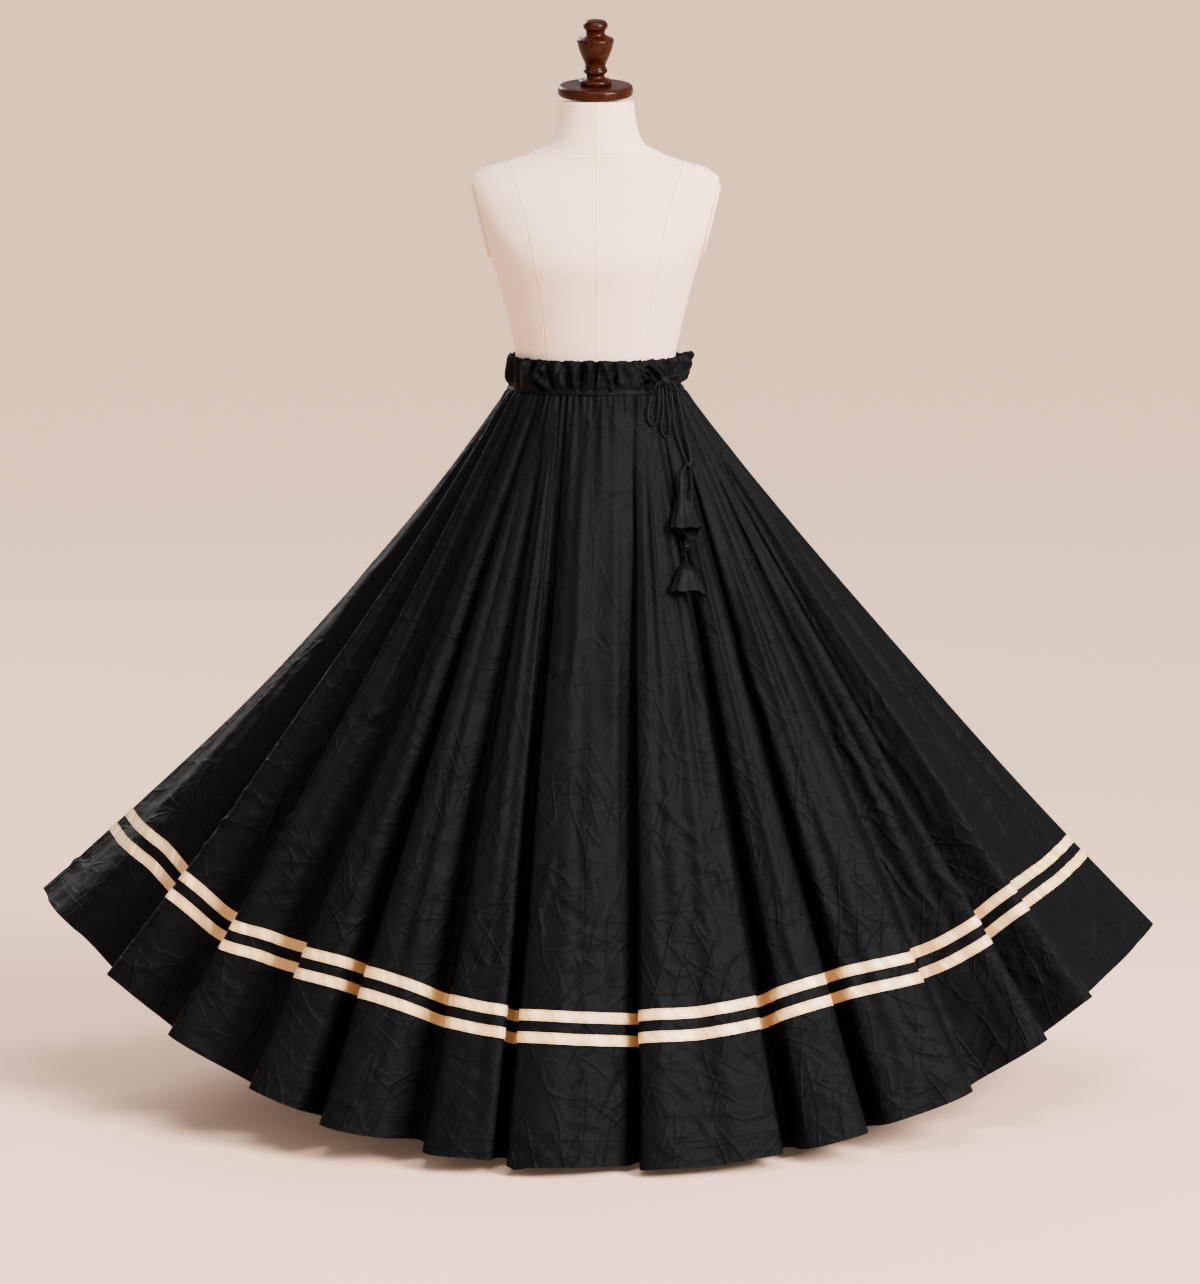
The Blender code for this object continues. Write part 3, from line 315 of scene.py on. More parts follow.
TAIL_RIGHT = table(
    RoutePoint,
    (0.1052, 1.0402, 0.0045), (0.1106, 1.0325, 0.003), (0.1145, 1.018, 0.001),
    (0.1185, 1.0, 0.0008), (0.1225, 0.98, 0.0008), (0.1268, 0.961, 0.0008), (0.1306, 0.944, 0.001),
    (0.1318, 0.931, 0.0014), (0.1322, 0.92, 0.0012), (0.1334, 0.908, 0.0006),
    (0.133, 0.892, 0.0006), (0.1314, 0.87, 0.0006), (0.1296, 0.85, 0.0006),
    (0.1278, 0.838, 0.0008), (0.1256, 0.831, 0.0014),
)


class TasselRing(NamedTuple):
    """A level ring of a folded cloth tassel, from its bound neck down to its lip."""

    x: float
    z: float
    half_width: float
    half_depth: float
    lift: float


TASSEL_UPPER = table(
    TasselRing,
    (0.1188, 0.915, 0.0026, 0.0026, 0.0064), (0.1184, 0.904, 0.003, 0.003, 0.0064),
    (0.1188, 0.8935, 0.0032, 0.0032, 0.0064), (0.1196, 0.885, 0.007, 0.0054, 0.0064),
    (0.1218, 0.868, 0.0142, 0.0076, 0.0064), (0.1253, 0.8475, 0.0222, 0.0088, 0.0064),
)
TASSEL_LOWER = table(
    TasselRing,
    (0.124, 0.806, 0.0026, 0.0026, 0.0012), (0.124, 0.8, 0.0044, 0.0038, 0.001),
    (0.1247, 0.789, 0.0106, 0.006, 0.0008), (0.1262, 0.777, 0.0176, 0.008, 0.0008),
    (0.1286, 0.763, 0.0255, 0.0092, 0.0008),
)


class Section(NamedTuple):
    """A level section of the dress form's torso."""

    name: str
    z: float
    half_width: float
    front: float
    back: float
    squareness: float       # 2 is an ellipse, more is squarer


TORSO_SECTIONS = table(
    Section,
    ("underside", 0.79, 0.15, 0.098, 0.108, 2.2), ("lower_edge", 0.796, 0.156, 0.103, 0.113, 2.2),
    ("hip", 0.85, 0.162, 0.106, 0.118, 2.2), ("high_hip", 0.93, 0.144, 0.096, 0.106, 2.2),
    ("under_waist", 0.99, 0.122, 0.088, 0.092, 2.15), ("waist", 1.03, 0.111, 0.0868, 0.0868, 2.05),
    ("waistband_top", 1.068, 0.112, 0.0872, 0.0868, 2.05),
    ("ribs", 1.112, 0.1205, 0.098, 0.088, 2.15), ("under_bust", 1.16, 0.1325, 0.112, 0.094, 2.2),
    ("bust", 1.205, 0.1455, 0.124, 0.1, 2.25), ("over_bust", 1.232, 0.156, 0.118, 0.104, 2.3),
    ("chest", 1.262, 0.1665, 0.102, 0.105, 2.3), ("armhole", 1.29, 0.1745, 0.084, 0.1, 2.3),
    ("shoulder_tip", 1.314, 0.1765, 0.066, 0.088, 2.2),
    ("shoulder_slope", 1.33, 0.16, 0.058, 0.076, 2.1),
    ("shoulder_mid", 1.342, 0.125, 0.056, 0.068, 2.05),
    ("neck_root", 1.354, 0.091, 0.056, 0.062, 2.0),
    ("neck_seam", 1.369, 0.0665, 0.055, 0.058, 2.0), ("neck", 1.386, 0.0595, 0.053, 0.055, 2.0),
    ("neck_top", 1.4255, 0.053, 0.051, 0.051, 2.0),
)


class SeamPlace(NamedTuple):
    """A point of a long seam of the form: its height and its distance from the middle."""

    z: float
    x: float


PRINCESS_SEAM = table(
    SeamPlace,
    (0.79, 0.086), (0.93, 0.08), (1.03, 0.069), (1.079, 0.069), (1.121, 0.072), (1.163, 0.0777),
    (1.2115, 0.088), (1.2526, 0.0945), (1.296, 0.106), (1.343, 0.122), (1.36, 0.128),
)


class ProfilePoint(NamedTuple):
    """A point of a turned profile: its radius and height."""

    radius: float
    height: float


CAP = table(
    ProfilePoint,
    (0.05, 0.0), (0.0516, 0.0012), (0.0524, 0.004), (0.0525, 0.008), (0.052, 0.0114),
    (0.0504, 0.0136), (0.047, 0.0146), (0.044, 0.0148), (0.03, 0.0148),
)
FINIAL = table(
    ProfilePoint,
    (0.0215, 0.0), (0.0226, 0.0018), (0.0228, 0.004), (0.022, 0.0062), (0.018, 0.008),
    (0.0138, 0.01), (0.0125, 0.013), (0.0136, 0.0152), (0.0164, 0.0172), (0.0169, 0.0192),
    (0.0162, 0.0216), (0.0147, 0.024), (0.0145, 0.0275), (0.0164, 0.033), (0.0192, 0.0392),
    (0.0216, 0.045), (0.0236, 0.051), (0.025, 0.0575), (0.0259, 0.0618), (0.0254, 0.0638),
    (0.022, 0.0656), (0.0168, 0.0682), (0.0136, 0.0706), (0.0132, 0.0732), (0.0146, 0.0768),
    (0.0168, 0.0798), (0.0173, 0.0826), (0.0164, 0.086), (0.0136, 0.089), (0.008, 0.0905),
    (0.002, 0.0908),
)
BASE = table(
    ProfilePoint,
    (0.156, 0.0), (0.1592, 0.0016), (0.16, 0.005), (0.16, 0.012), (0.1586, 0.016), (0.155, 0.019),
    (0.15, 0.0206), (0.146, 0.0222), (0.1424, 0.0256), (0.138, 0.0274), (0.13, 0.028),
    (0.07, 0.028), (0.018, 0.028),
)


def smoothstep(value: Array, low: float, high: float) -> Array:
    """Rise smoothly from 0 at low to 1 at high."""
    share = np.clip((value - low) / (high - low), 0.0, 1.0)
    return share * share * (3.0 - 2.0 * share)


def bell(offset: Array, half_width: float | Array) -> Array:
    """A soft bump: 1 where the offset is 0, near 0 beyond twice the half width."""
    return np.exp(-((offset / half_width) ** 2))


def ring_angles(sides: int, start: float = 0.0) -> Array:
    """Even angles once round, from the start."""
    return np.linspace(start, start + math.tau, sides, endpoint=False)


def flat_grid(across: Array, up: Array) -> Array:
    """Places on flat cloth, as rows by columns by 2, from one row's and one column's."""
    return np.stack(np.broadcast_arrays(across[None, :], up[:, None]), axis=-1)


def blend_nearby(values: Array, reach: int, blend: Callable, beyond: str = "edge") -> Array:
    """Blend every number with its neighbours along the last axis.

    Args:
        values: The numbers.
        reach: How many neighbours on each side take part.
        blend: The least, the greatest or the mean, as a numpy function.
        beyond: What lies past the ends: "edge" for more of the same, "wrap" for the
            other end.

    Returns:
        The blended numbers, as many as there were.
    """
    padding = [(0, 0)] * (values.ndim - 1) + [(reach, reach)]
    wide = np.pad(values, padding, mode=beyond)
    count = values.shape[-1]
    return blend([wide[..., shift:shift + count] for shift in range(2 * reach + 1)], axis=0)


def smooth_path(rows: Array, steps: int) -> tuple[Array, Array]:
    """Carry a smooth curve through rows of numbers.

    Formula: cubic pieces. The slope at a row is the mean of the slopes of the steps
    before and after it, where the shorter step has the greater say, so rows close
    together make a tight corner.

    Args:
        rows: One row for each point that the curve passes.
        steps: Number of points taken from the curve.

    Returns:
        The points of the curve, and the row number of each.
    """
    rows = np.asarray(rows, dtype=float)
    step = np.linalg.norm(np.diff(rows[:, :3], axis=0), axis=1)[:, None] + 1e-9
    slope = np.diff(rows, axis=0) / step
    inner = (slope[:-1] * step[1:] + slope[1:] * step[:-1]) / (step[:-1] + step[1:])
    slope = np.vstack([slope[:1], inner, slope[-1:]])
    place = np.linspace(0.0, len(rows) - 1.0, steps)
    low = np.minimum(place.astype(int), len(rows) - 2)
    t = (place - low)[:, None]
    start, end, width = rows[low], rows[low + 1], step[low]
    curve = (start + (end - start) * (3.0 - 2.0 * t) * t**2
             + width * slope[low] * t * (1.0 - t)**2
             - width * slope[low + 1] * t**2 * (1.0 - t))
    return curve, place


def run_along(points: Array) -> Array:
    """Distance run along a line of points, from 0 at its first point."""
    return np.r_[0.0, np.cumsum(np.linalg.norm(np.diff(points, axis=0), axis=1))]


def unit(vectors: Array) -> Array:
    """The vectors at a length of 1."""
    return vectors / np.linalg.norm(vectors, axis=-1, keepdims=True)


def grid_normals(grid: Array) -> Array:
    """Outward normals of a grid whose last column joins its first.

    Formula: the cross product of the step down the rows and the step along the columns.
    """
    across = np.roll(grid, -1, axis=1) - np.roll(grid, 1, axis=1)
    return unit(np.cross(np.gradient(grid, axis=0), across))


def operator_method(operation: str) -> Callable:
    """A method that adds one Math node, for its object and the values given to it."""
    return lambda number, *values: number.math(operation, number, *values)


class Number:
    """A number socket that takes part in Python expressions, which add Math nodes."""

    __add__ = __radd__ = operator_method("ADD")
    __sub__ = operator_method("SUBTRACT")
    __mul__ = __rmul__ = operator_method("MULTIPLY")
    __truediv__ = operator_method("DIVIDE")
    __pow__ = operator_method("POWER")
    __abs__ = operator_method("ABSOLUTE")
    sine = operator_method("SINE")

    def __init__(self, shade: "Shade", socket: NodeSocket) -> None:
        """Wrap a socket of the material that shade builds."""
        self.shade = shade
        self.socket = socket

    def math(self, operation: str, *values: "Number | float") -> "Number":
        """Add one Math node that works on the given values."""
        return self.shade.node("ShaderNodeMath", {"operation": operation},
                               dict(enumerate(values)))

    def __rsub__(self, other: float) -> "Number":
        """Take this from a value."""
        return self.math("SUBTRACT", other, self)

    def __neg__(self) -> "Number":
        """Change the sign."""
        return self * -1.0

    def rise(self, low: float, high: float) -> "Number":
        """Rise smoothly from 0 where this is low to 1 where it is high."""
        return self.shade.node("ShaderNodeMapRange", {"interpolation_type": "SMOOTHSTEP"},
                               {"Value": self, "From Min": low, "From Max": high}, "Result")

    def bell(self, half_width: float) -> "Number":
        """A soft bump: 1 where this is 0, near 0 beyond twice the half width."""
        scaled = self / half_width
        return self.math("EXPONENT", -(scaled * scaled))


class Shade:
    """A Principled material under construction."""

    def __init__(self, name: str) -> None:
        """Start the material.

        Args:
            name: Its name.
        """
        self.material = bpy.data.materials.new(name)
        self.material.use_nodes = True
        self.tree = self.material.node_tree
        self.surface = self.tree.nodes["Principled BSDF"]

    def node(self, kind: str, settings: dict, inputs: dict, output: str | int = 0) -> Number:
        """Add a node.

        Args:
            kind: The node's type.
            settings: Its settings, which are set before its sockets.
            inputs: Values or numbers for its sockets, by name or place.
            output: The socket that is read from it.

        Returns:
            That socket, ready for expressions.
        """
        made = self.tree.nodes.new(kind)
        for key, value in settings.items():
            setattr(made, key, value)
        for key, value in inputs.items():
            if isinstance(value, Number):
                self.tree.links.new(value.socket, made.inputs[key])
            else:
                made.inputs[key].default_value = value
        return Number(self, made.outputs[output])

    def object_place(self) -> Number:
        """The point's place on the object, in metres."""
        return self.node("ShaderNodeTexCoord", {}, {}, "Object")

    def parts_of(self, vector: Number) -> tuple[Number, ...]:
        """The x, y and z of a vector."""
        made = self.node("ShaderNodeSeparateXYZ", {}, {"Vector": vector}, "X").socket.node
        return tuple(Number(self, made.outputs[axis]) for axis in "XYZ")

    def cloth_place(self) -> tuple[Number, Number]:
        """The point's place on the flat cloth in metres: across from its middle, and up."""
        u, v, _ = self.parts_of(self.node("ShaderNodeUVMap", {"uv_map": "cloth"}, {}, "UV"))
        return (u - 0.5) / UV_SCALE, v / UV_SCALE

    def vector(self, *parts: "Number | float") -> Number:
        """A vector of three numbers."""
        return self.node("ShaderNodeCombineXYZ", {}, dict(zip("XYZ", parts)), "Vector")

    def mark(self, name: str) -> Number:
        """A number that the mesh carries at its points."""
        return self.node("ShaderNodeAttribute", {"attribute_name": name}, {}, "Fac")

    def noise(self, place: Number, scale: float, detail: float) -> Number:
        """Soft random waves around 0.5."""
        return self.node("ShaderNodeTexNoise", {}, {
            "Vector": place, "Scale": scale, "Detail": detail}, "Fac")

    def colour(self, factor: Number, dark: tuple, light: tuple) -> Number:
        """Mix two colours by a factor."""
        return self.node("ShaderNodeMix", {"data_type": "RGBA", "clamp_factor": True},
                         {0: factor, 6: (*dark, 1.0), 7: (*light, 1.0)}, 2)

    def wear(self, socket: str, value: Number) -> None:
        """Feed a socket of the surface."""
        self.tree.links.new(value.socket, self.surface.inputs[socket])

    def fix(self, **values: float) -> None:
        """Set sockets that are the same all over, with _ for the spaces of their names."""
        for key, value in values.items():
            self.surface.inputs[key.replace("_", " ")].default_value = value

    def emboss(self, millimetres: Number) -> None:
        """Raise the surface by a height in millimetres, as relief in its shading."""
        bump = self.node("ShaderNodeBump", {}, {"Height": millimetres, "Distance": 0.001},
                         "Normal")
        self.wear("Normal", bump)


@dataclass(frozen=True)
class CottonFinish:
    """Plain woven black cotton that has been worn, packed and shaken out."""

    name: str
    dark: Triple = (0.0014, 0.0016, 0.0020)
    light: Triple = (0.0030, 0.0033, 0.0040)
    gloss: float = 0.035
    roughness: float = 0.60
    creased: float = 1.0        # how much the crease lines show
    hem_line: float = 0.034     # height of the hem's stitching, 0 for none
    # Crease lines: their direction in degrees, spacing, length and seed.
    lines: tuple = ((28, 0.045, 0.16, 1.0), (-34, 0.040, 0.13, 2.0), (70, 0.030, 0.22, 3.0),
                    (-66, 0.036, 0.18, 4.0), (4, 0.034, 0.10, 6.0))
    patch: Pair = (0.11, 0.07)
    line_mm: float = 0.95
    facet_mm: float = 2.8
    lump_mm: float = 2.6
    thread_mm: float = 0.03
    calm_between: Pair = (0.30, 0.85)    # heights, up from the hem
    calm: float = 0.60

    def crease_lines(self, shade: Shade, across: Number, up: Number, degrees: float,
                     spacing: float, length: float, seed: float) -> Number:
        """Thin raised lines of one direction, in patches.

        Formula: where soft noise, stretched along the direction, crosses its middle value
        the cloth stands up in a narrow bell, and a second noise decides where it does.

        Args:
            shade: The material under construction.
            across: Place across the cloth.
            up: Place up the cloth.
            degrees: The lines' direction.
            spacing: Metres between them.
            length: Their length in metres.
            seed: Tells one set of lines from another.

        Returns:
            Their height, from 0 to 1.
        """
        turn = math.radians(degrees)
        along = across * math.cos(turn) + up * math.sin(turn)
        aside = up * math.cos(turn) - across * math.sin(turn)
        place = shade.vector(along / length, aside / spacing, seed)
        line = (shade.noise(place, 1.0, 1.0) - 0.5).bell(0.030)
        where = shade.vector(along / self.patch[0], aside / self.patch[1], seed + 5.0)
        return line * shade.noise(where, 1.0, 0.0).rise(0.42, 0.62)

    def sewn(self, shade: Shade, across: Number, up: Number, relief: Number) -> Number:
        """Press the hem's stitching and the side seams into the relief.

        Formula: each seam is a narrow groove, and soft noise puckers a wide bell round it.

        Args:
            shade: The material under construction.
            across: Place across the cloth.
            up: Place up the cloth.
            relief: Its height in millimetres.

        Returns:
            The height with the seams in it.
        """
        from_line = up - self.hem_line
        waver = shade.noise(shade.vector(across / 0.013, up / 0.030, 0.0), 1.0, 1.0)
        relief = relief - from_line.bell(0.0011) * 0.45 + from_line.bell(0.010) * waver * 1.3
        seam = shade.mark("side_edge")
        relief = relief - seam.bell(0.0008) * 0.30
        pull = shade.noise(shade.vector(up / 0.011, across / 0.030, 3.0), 1.0, 1.0)
        return relief + seam.bell(0.009) * pull * 0.7

    def material(self) -> Material:
        """Make the material.

        Formula: crease lines, the facets of a cell pattern and soft lumps are added up,
        lessened towards the waist, and fine threads are laid over them.

        Returns:
            The material.
        """
        shade = Shade(self.name)
        across, up = shade.cloth_place()
        place = shade.vector(across, up, 0.0)
        lines = self.crease_lines(shade, across, up, *self.lines[0])
        for line in self.lines[1:]:
            lines = lines + self.crease_lines(shade, across, up, *line)
        bent = shade.noise(place, 9.0, 1.0)
        facet = shade.node("ShaderNodeTexVoronoi", {"feature": "F1"}, {
            "Vector": shade.vector(across + bent * 0.05, up - bent * 0.07, 0.0),
            "Scale": 26.0, "Randomness": 1.0}, "Distance")
        lower = 1.0 - up.rise(*self.calm_between) * self.calm
        relief = (lines * self.line_mm + facet * self.facet_mm
                  + shade.noise(place, 24.0, 3.0) * self.lump_mm) * lower
        thread = shade.noise(place, 900.0, 1.0)
        relief = relief * self.creased + thread * self.thread_mm
        if self.hem_line:
            relief = self.sewn(shade, across, up, relief)
        shade.emboss(relief)
        mottled = shade.noise(place, 60.0, 4.0)
        shade.wear("Base Color", shade.colour(mottled, self.dark, self.light))
        shade.fix(Roughness=self.roughness, Specular_IOR_Level=self.gloss)
        return shade.material


@dataclass(frozen=True)
class SatinFinish:
    """Pale gold satin ribbon, sewn down along both edges."""

    name: str
    # painted light: the tone runs from shade_colour, painted shade of the valleys and grooves, to
    # light, painted highlight of the streaks; random clouds also vary it
    shade_colour: Triple = (0.50, 0.27, 0.09)
    light: Triple = (1.0, 0.72, 0.36)
    width: float = RIBBON_WIDTH
    stitch_inset: float = 0.0016
    stitch_length: float = 0.0030
    pucker_mm: float = 0.55
    groove_mm: float = 0.22
    thread_mm: float = 0.10
    grain_mm: float = 0.02
    highlight_streaks: float = 0.75       # how far the tone follows its slanting streaks, which are painted highlights
    clouds: float = 0.3
    base_tone: float = 0.22
    # painted shade: how far the tone drops along the stitch grooves
    groove_shade: float = 0.5
    painted_valley_shade: float = 1.1    # painted shade: how far the tone drops in the valleys

    def material(self) -> Material:
        """Make the material.

        Formula: a dashed thread in a groove along each edge, with puckers and fine grain
        along the ribbon, and a tone of slanting streaks of painted highlight, with painted
        shade in the stitch grooves and in the valleys.

        Returns:
            The material.
        """
        shade = Shade(self.name)
        across, up = shade.cloth_place()
        place = shade.vector(across, up * 3.0, 0.0)
        middle = up - self.width / 2.0
        from_stitch = abs(middle) - (self.width / 2.0 - self.stitch_inset)
        dash = (across * (math.tau / self.stitch_length)).sine().rise(-0.5, 0.2)
        thread = from_stitch.bell(0.00045) * dash
        pucker = shade.noise(shade.vector(across / 0.008, up / 0.020, 0.0), 1.0, 1.0)
        grain = shade.noise(shade.vector(across * 30.0, up * 2200.0, 0.0), 1.0, 1.0)
        shade.emboss(pucker * self.pucker_mm - from_stitch.bell(0.0008) * self.groove_mm
                     + thread * self.thread_mm + grain * self.grain_mm)
        # painted highlight: slanting streaks lighten the ribbon's tone
        slant = shade.vector(across * 55.0 + up * 30.0, up * 4.0, 0.0)
        painted_highlight = shade.noise(slant, 1.0, 2.0).rise(0.40, 0.72)
        tone = (painted_highlight * self.highlight_streaks + shade.noise(place, 40.0, 3.0) * self.clouds
                + self.base_tone
                # painted shade along the stitch grooves
                - from_stitch.bell(0.0007) * self.groove_shade
                # painted shade in the cloth's valleys
                - shade.mark("valley_shade_mask") * self.painted_valley_shade)
        shade.wear("Base Color", shade.colour(tone, self.shade_colour, self.light))
        shade.fix(Roughness=0.36, Specular_IOR_Level=0.5)
        return shade.material


@dataclass(frozen=True)
class LinenFinish:
    """Off-white linen stretched over padding, with fine upright threads."""

    name: str
    shade_colour: Triple = (0.78, 0.56, 0.42)
    light: Triple = (0.92, 0.70, 0.55)
    seams: bool = True
    groove_mm: float = 0.55
    swell_mm: float = 0.25

    def along_seams(self, shade: Shade, x: Number, half_width: float,
                    middle_half_width: float) -> Number:
        """Soft bumps along the long seams, the middle one and the one round the neck."""
        bumps = shade.mark("princess").bell(half_width) + x.bell(middle_half_width)
        return bumps + shade.mark("neck").bell(half_width)

    def material(self) -> Material:
        """Make the material.

        Formula: noise drawn out along upright and level threads, over wide soft clouds. A
        seam is a narrow groove in a wide low swell, with painted shade in the groove.

        Returns:
            The material.
        """
        shade = Shade(self.name)
        place = shade.object_place()
        x, y, z = shade.parts_of(place)
        upright = shade.noise(shade.vector(x * 900.0, y * 900.0, z * 60.0), 1.0, 3.0)
        level = shade.noise(shade.vector(x * 90.0, y * 90.0, z * 1300.0), 1.0, 2.0)
        cloudy = shade.noise(place, 14.0, 3.0)
        relief = upright * 0.16 + level * 0.07 + cloudy * 0.25
        tone = upright * 0.75 + level * 0.25 + cloudy * 0.35 - 0.10
        if self.seams:
            groove = self.along_seams(shade, x, 0.0010, 0.0009)
            beside = self.along_seams(shade, x, 0.0045, 0.0040)
            relief = relief - groove * self.groove_mm + beside * self.swell_mm
            # painted shade: the seam grooves are darker
            tone = tone - groove * 0.45
        shade.emboss(relief)
        shade.wear("Base Color", shade.colour(tone, self.shade_colour, self.light))
        shade.fix(Roughness=0.86, Specular_IOR_Level=0.25)
        return shade.material


@dataclass(frozen=True)
class WoodFinish:
    """Dark red-brown hardwood, turned, stained and polished."""

    name: str
    dark: Triple = (0.007, 0.0008, 0.0001)
    light: Triple = (0.034, 0.0050, 0.0006)

    def material(self) -> Material:
        """Make the material.

        Formula: noise drawn out upwards makes the grain, bent a little by wide waves, and
        finer noise makes the pores.

        Returns:
            The material.
        """
        shade = Shade(self.name)
        place = shade.object_place()
        x, y, z = shade.parts_of(place)
        bent = shade.noise(place, 12.0, 2.0) * 0.02
        grain = shade.noise(shade.vector((x + bent) * 260.0, (y + bent) * 260.0, z * 16.0),
                            1.0, 4.0)
        pores = shade.noise(shade.vector(x * 1400.0, y * 1400.0, z * 60.0), 1.0, 1.0)
        tone = grain.rise(0.30, 0.72) * 0.85 + shade.noise(place, 30.0, 2.0) * 0.3 - 0.08
        shade.wear("Base Color", shade.colour(tone, self.dark, self.light))
        shade.emboss(pores * 0.02 + grain * 0.03)
        shade.wear("Roughness", 0.30 + pores * 0.12)
        shade.fix(Specular_IOR_Level=0.06, Coat_Weight=0.10, Coat_Roughness=0.10)
        return shade.material


BLACK_COTTON = CottonFinish("creased_black_cotton")
BAND_COTTON = CottonFinish("gathered_black_cotton", creased=0.55, hem_line=0.0, roughness=0.56)
CORD_COTTON = CottonFinish("cord_black_cotton", creased=0.10, hem_line=0.0, roughness=0.45,
                           dark=(0.0018, 0.0020, 0.0024), light=(0.0038, 0.0041, 0.0047),
                           gloss=0.06)
GOLD_SATIN = SatinFinish("pale_gold_satin")
FORM_LINEN = LinenFinish("form_linen")
PLATE_LINEN = LinenFinish("plate_linen", seams=False)
TURNED_WOOD = WoodFinish("turned_red_brown_wood")


def sharpen_free_edges(mesh: Mesh) -> None:
    """Mark the edges that have one face only, so that a wall's rim keeps its own shading.

    Args:
        mesh: The mesh that is marked.
    """
    used = np.empty(len(mesh.loops), dtype=np.int32)
    mesh.loops.foreach_get("edge_index", used)
    free = np.bincount(used, minlength=len(mesh.edges)) == 1
    sharp = mesh.attributes.new("sharp_edge", "BOOLEAN", "EDGE")
    sharp.data.foreach_set("value", free)


def quads_between(left: Array, right: Array) -> Array:
    """Corners of the quads between columns of point numbers and those to their right.

    Formula: a point, the one below it, the one below and right, and the one to the right.
    """
    return np.stack([left[:-1], left[1:], right[1:], right[:-1]], axis=-1).reshape(-1, 4)


def weld_points(mesh: Mesh) -> None:
    """Make the points that share one place, as at a pole, into one.

    Args:
        mesh: The mesh that is welded.
    """
    body = bmesh.new()
    body.from_mesh(mesh)
    bmesh.ops.remove_doubles(body, verts=body.verts, dist=1e-6)
    body.to_mesh(mesh)
    body.free()


def add_surface(name: str, grid: Array, material: Material, wrap: bool = False,
                cloth_place: Array | None = None, marks: dict | None = None,
                thickness: float = 0.0, weld: bool = False) -> Object:
    """Make a piece from a grid of points.

    Formula: neighbouring points make quads, which face out where rows run down and
    columns run to the right as seen from outside.

    Args:
        name: Name of the piece.
        grid: Points, as rows by columns by 3.
        material: Its finish.
        wrap: Whether the last column joins the first.
        cloth_place: Flat places in metres, as rows by columns by 2, with one column more
            than the grid where it wraps.
        marks: Named numbers for the points, as rows by columns.
        thickness: Wall that is laid inside the surface, 0 for none.
        weld: Whether points in one place, as at a pole, become one.

    Returns:
        The new object.
    """
    rows, columns = grid.shape[:2]
    number = np.arange(rows * columns).reshape(rows, columns)
    quads = (quads_between(number, np.roll(number, -1, axis=1)) if wrap
             else quads_between(number[:, :-1], number[:, 1:]))
    mesh = bpy.data.meshes.new(name)
    mesh.vertices.add(rows * columns)
    mesh.vertices.foreach_set("co", grid.astype(np.float32).ravel())
    mesh.loops.add(quads.size)
    mesh.loops.foreach_set("vertex_index", quads.astype(np.int32).ravel())
    mesh.polygons.add(len(quads))
    mesh.polygons.foreach_set("loop_start", np.arange(0, quads.size, 4, dtype=np.int32))
    mesh.update(calc_edges=True)
    if cloth_place is not None:
        wide = np.arange(rows * cloth_place.shape[1]).reshape(rows, -1)
        corners = quads_between(wide[:, :-1], wide[:, 1:]).ravel()
        flat = cloth_place.reshape(-1, 2)[corners] * UV_SCALE + (0.5, 0.0)
        layer = mesh.uv_layers.new(name="cloth")
        layer.data.foreach_set("uv", flat.astype(np.float32).ravel())
    for key, values in (marks or {}).items():
        layer = mesh.attributes.new(key, "FLOAT", "POINT")
        layer.data.foreach_set("value", values.astype(np.float32).ravel())
    mesh.materials.append(material)
    mesh.shade_smooth()
    if thickness:
        sharpen_free_edges(mesh)
    if weld:
        weld_points(mesh)
    mesh.validate()
    made = bpy.data.objects.new(name, mesh)
    bpy.context.scene.collection.objects.link(made)
    if thickness:
        wall = made.modifiers.new("wall", "SOLIDIFY")
        wall.thickness = thickness
        wall.offset = -1.0
    return made


def settle(piece: Object, slot: str, *nodes: str) -> Object:
    """Let a piece ride on the part and stand for CAD nodes.

    Args:
        piece: The piece.
        slot: The name of its finish in the part's table; not used.
        nodes: The solids whose place it takes.

    Returns:
        The piece.
    """
    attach(piece, "root")
    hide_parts(*nodes)
    LOG.info("%s stands for %s, %d faces", piece.name, ", ".join(nodes),
             len(piece.data.polygons))
    return piece


CREASE_TROUGH = 0.35        # depth of the trough beside a crease, over the crease's height
TROUGH_PLACE = 1.9          # its distance from the crease's line, in half widths
BACK_SLOPE = 0.25           # y over x beyond which a point belongs to the back


def crease_relief(grid: Array, creases: tuple[Crease, ...]) -> Array:
    """Height of pressed-in creases on a grid that runs once round the part.

    Formula: every point is seen in the picture of the front, or from behind for the
    back. The distance to a gently bent line there gives a narrow ridge with a shallow
    trough on each side, which dies away towards the line's ends.

    Args:
        grid: Points, as rows by columns by 3.
        creases: The lines, as the front view shows them.

    Returns:
        Heights, as rows by columns.
    """
    x, y, z = (grid[..., axis] for axis in range(3))
    side = np.where(y < BACK_SLOPE * np.abs(x), 1.0, -1.0)
    column, row = FrontCamera.picture_place(side * x, side * y, z)
    relief = np.zeros_like(x)
    for crease in creases:
        along = np.array([crease.column_b - crease.column_a, crease.row_b - crease.row_a])
        length = float(np.hypot(*along))
        along = along / length
        aside_x, aside_y = column - crease.column_a, row - crease.row_a
        share = (aside_x * along[0] + aside_y * along[1]) / length
        bend = crease.bend * 4.0 * share * (1.0 - share)
        distance = (aside_y * along[0] - aside_x * along[1] - bend) * FrontCamera.metres_per_pixel
        ends = np.sqrt(np.clip(4.0 * share * (1.0 - share), 0.0, 1.0))
        near = distance / crease.half_width
        ridge = np.exp(-(near**2)) - CREASE_TROUGH * np.exp(-((np.abs(near) - TROUGH_PLACE) ** 2))
        relief += crease.height * ridge * ends
    return relief


class Strands(NamedTuple):
    """The strands of cloth all round: one row for each column of the cloth."""

    waist: Array
    hem: Array
    out: Array         # level direction out of the waist
    bow: Array         # how far the strand bows sideways
    band: Array        # height of the lower ribbon's lower edge above the hem


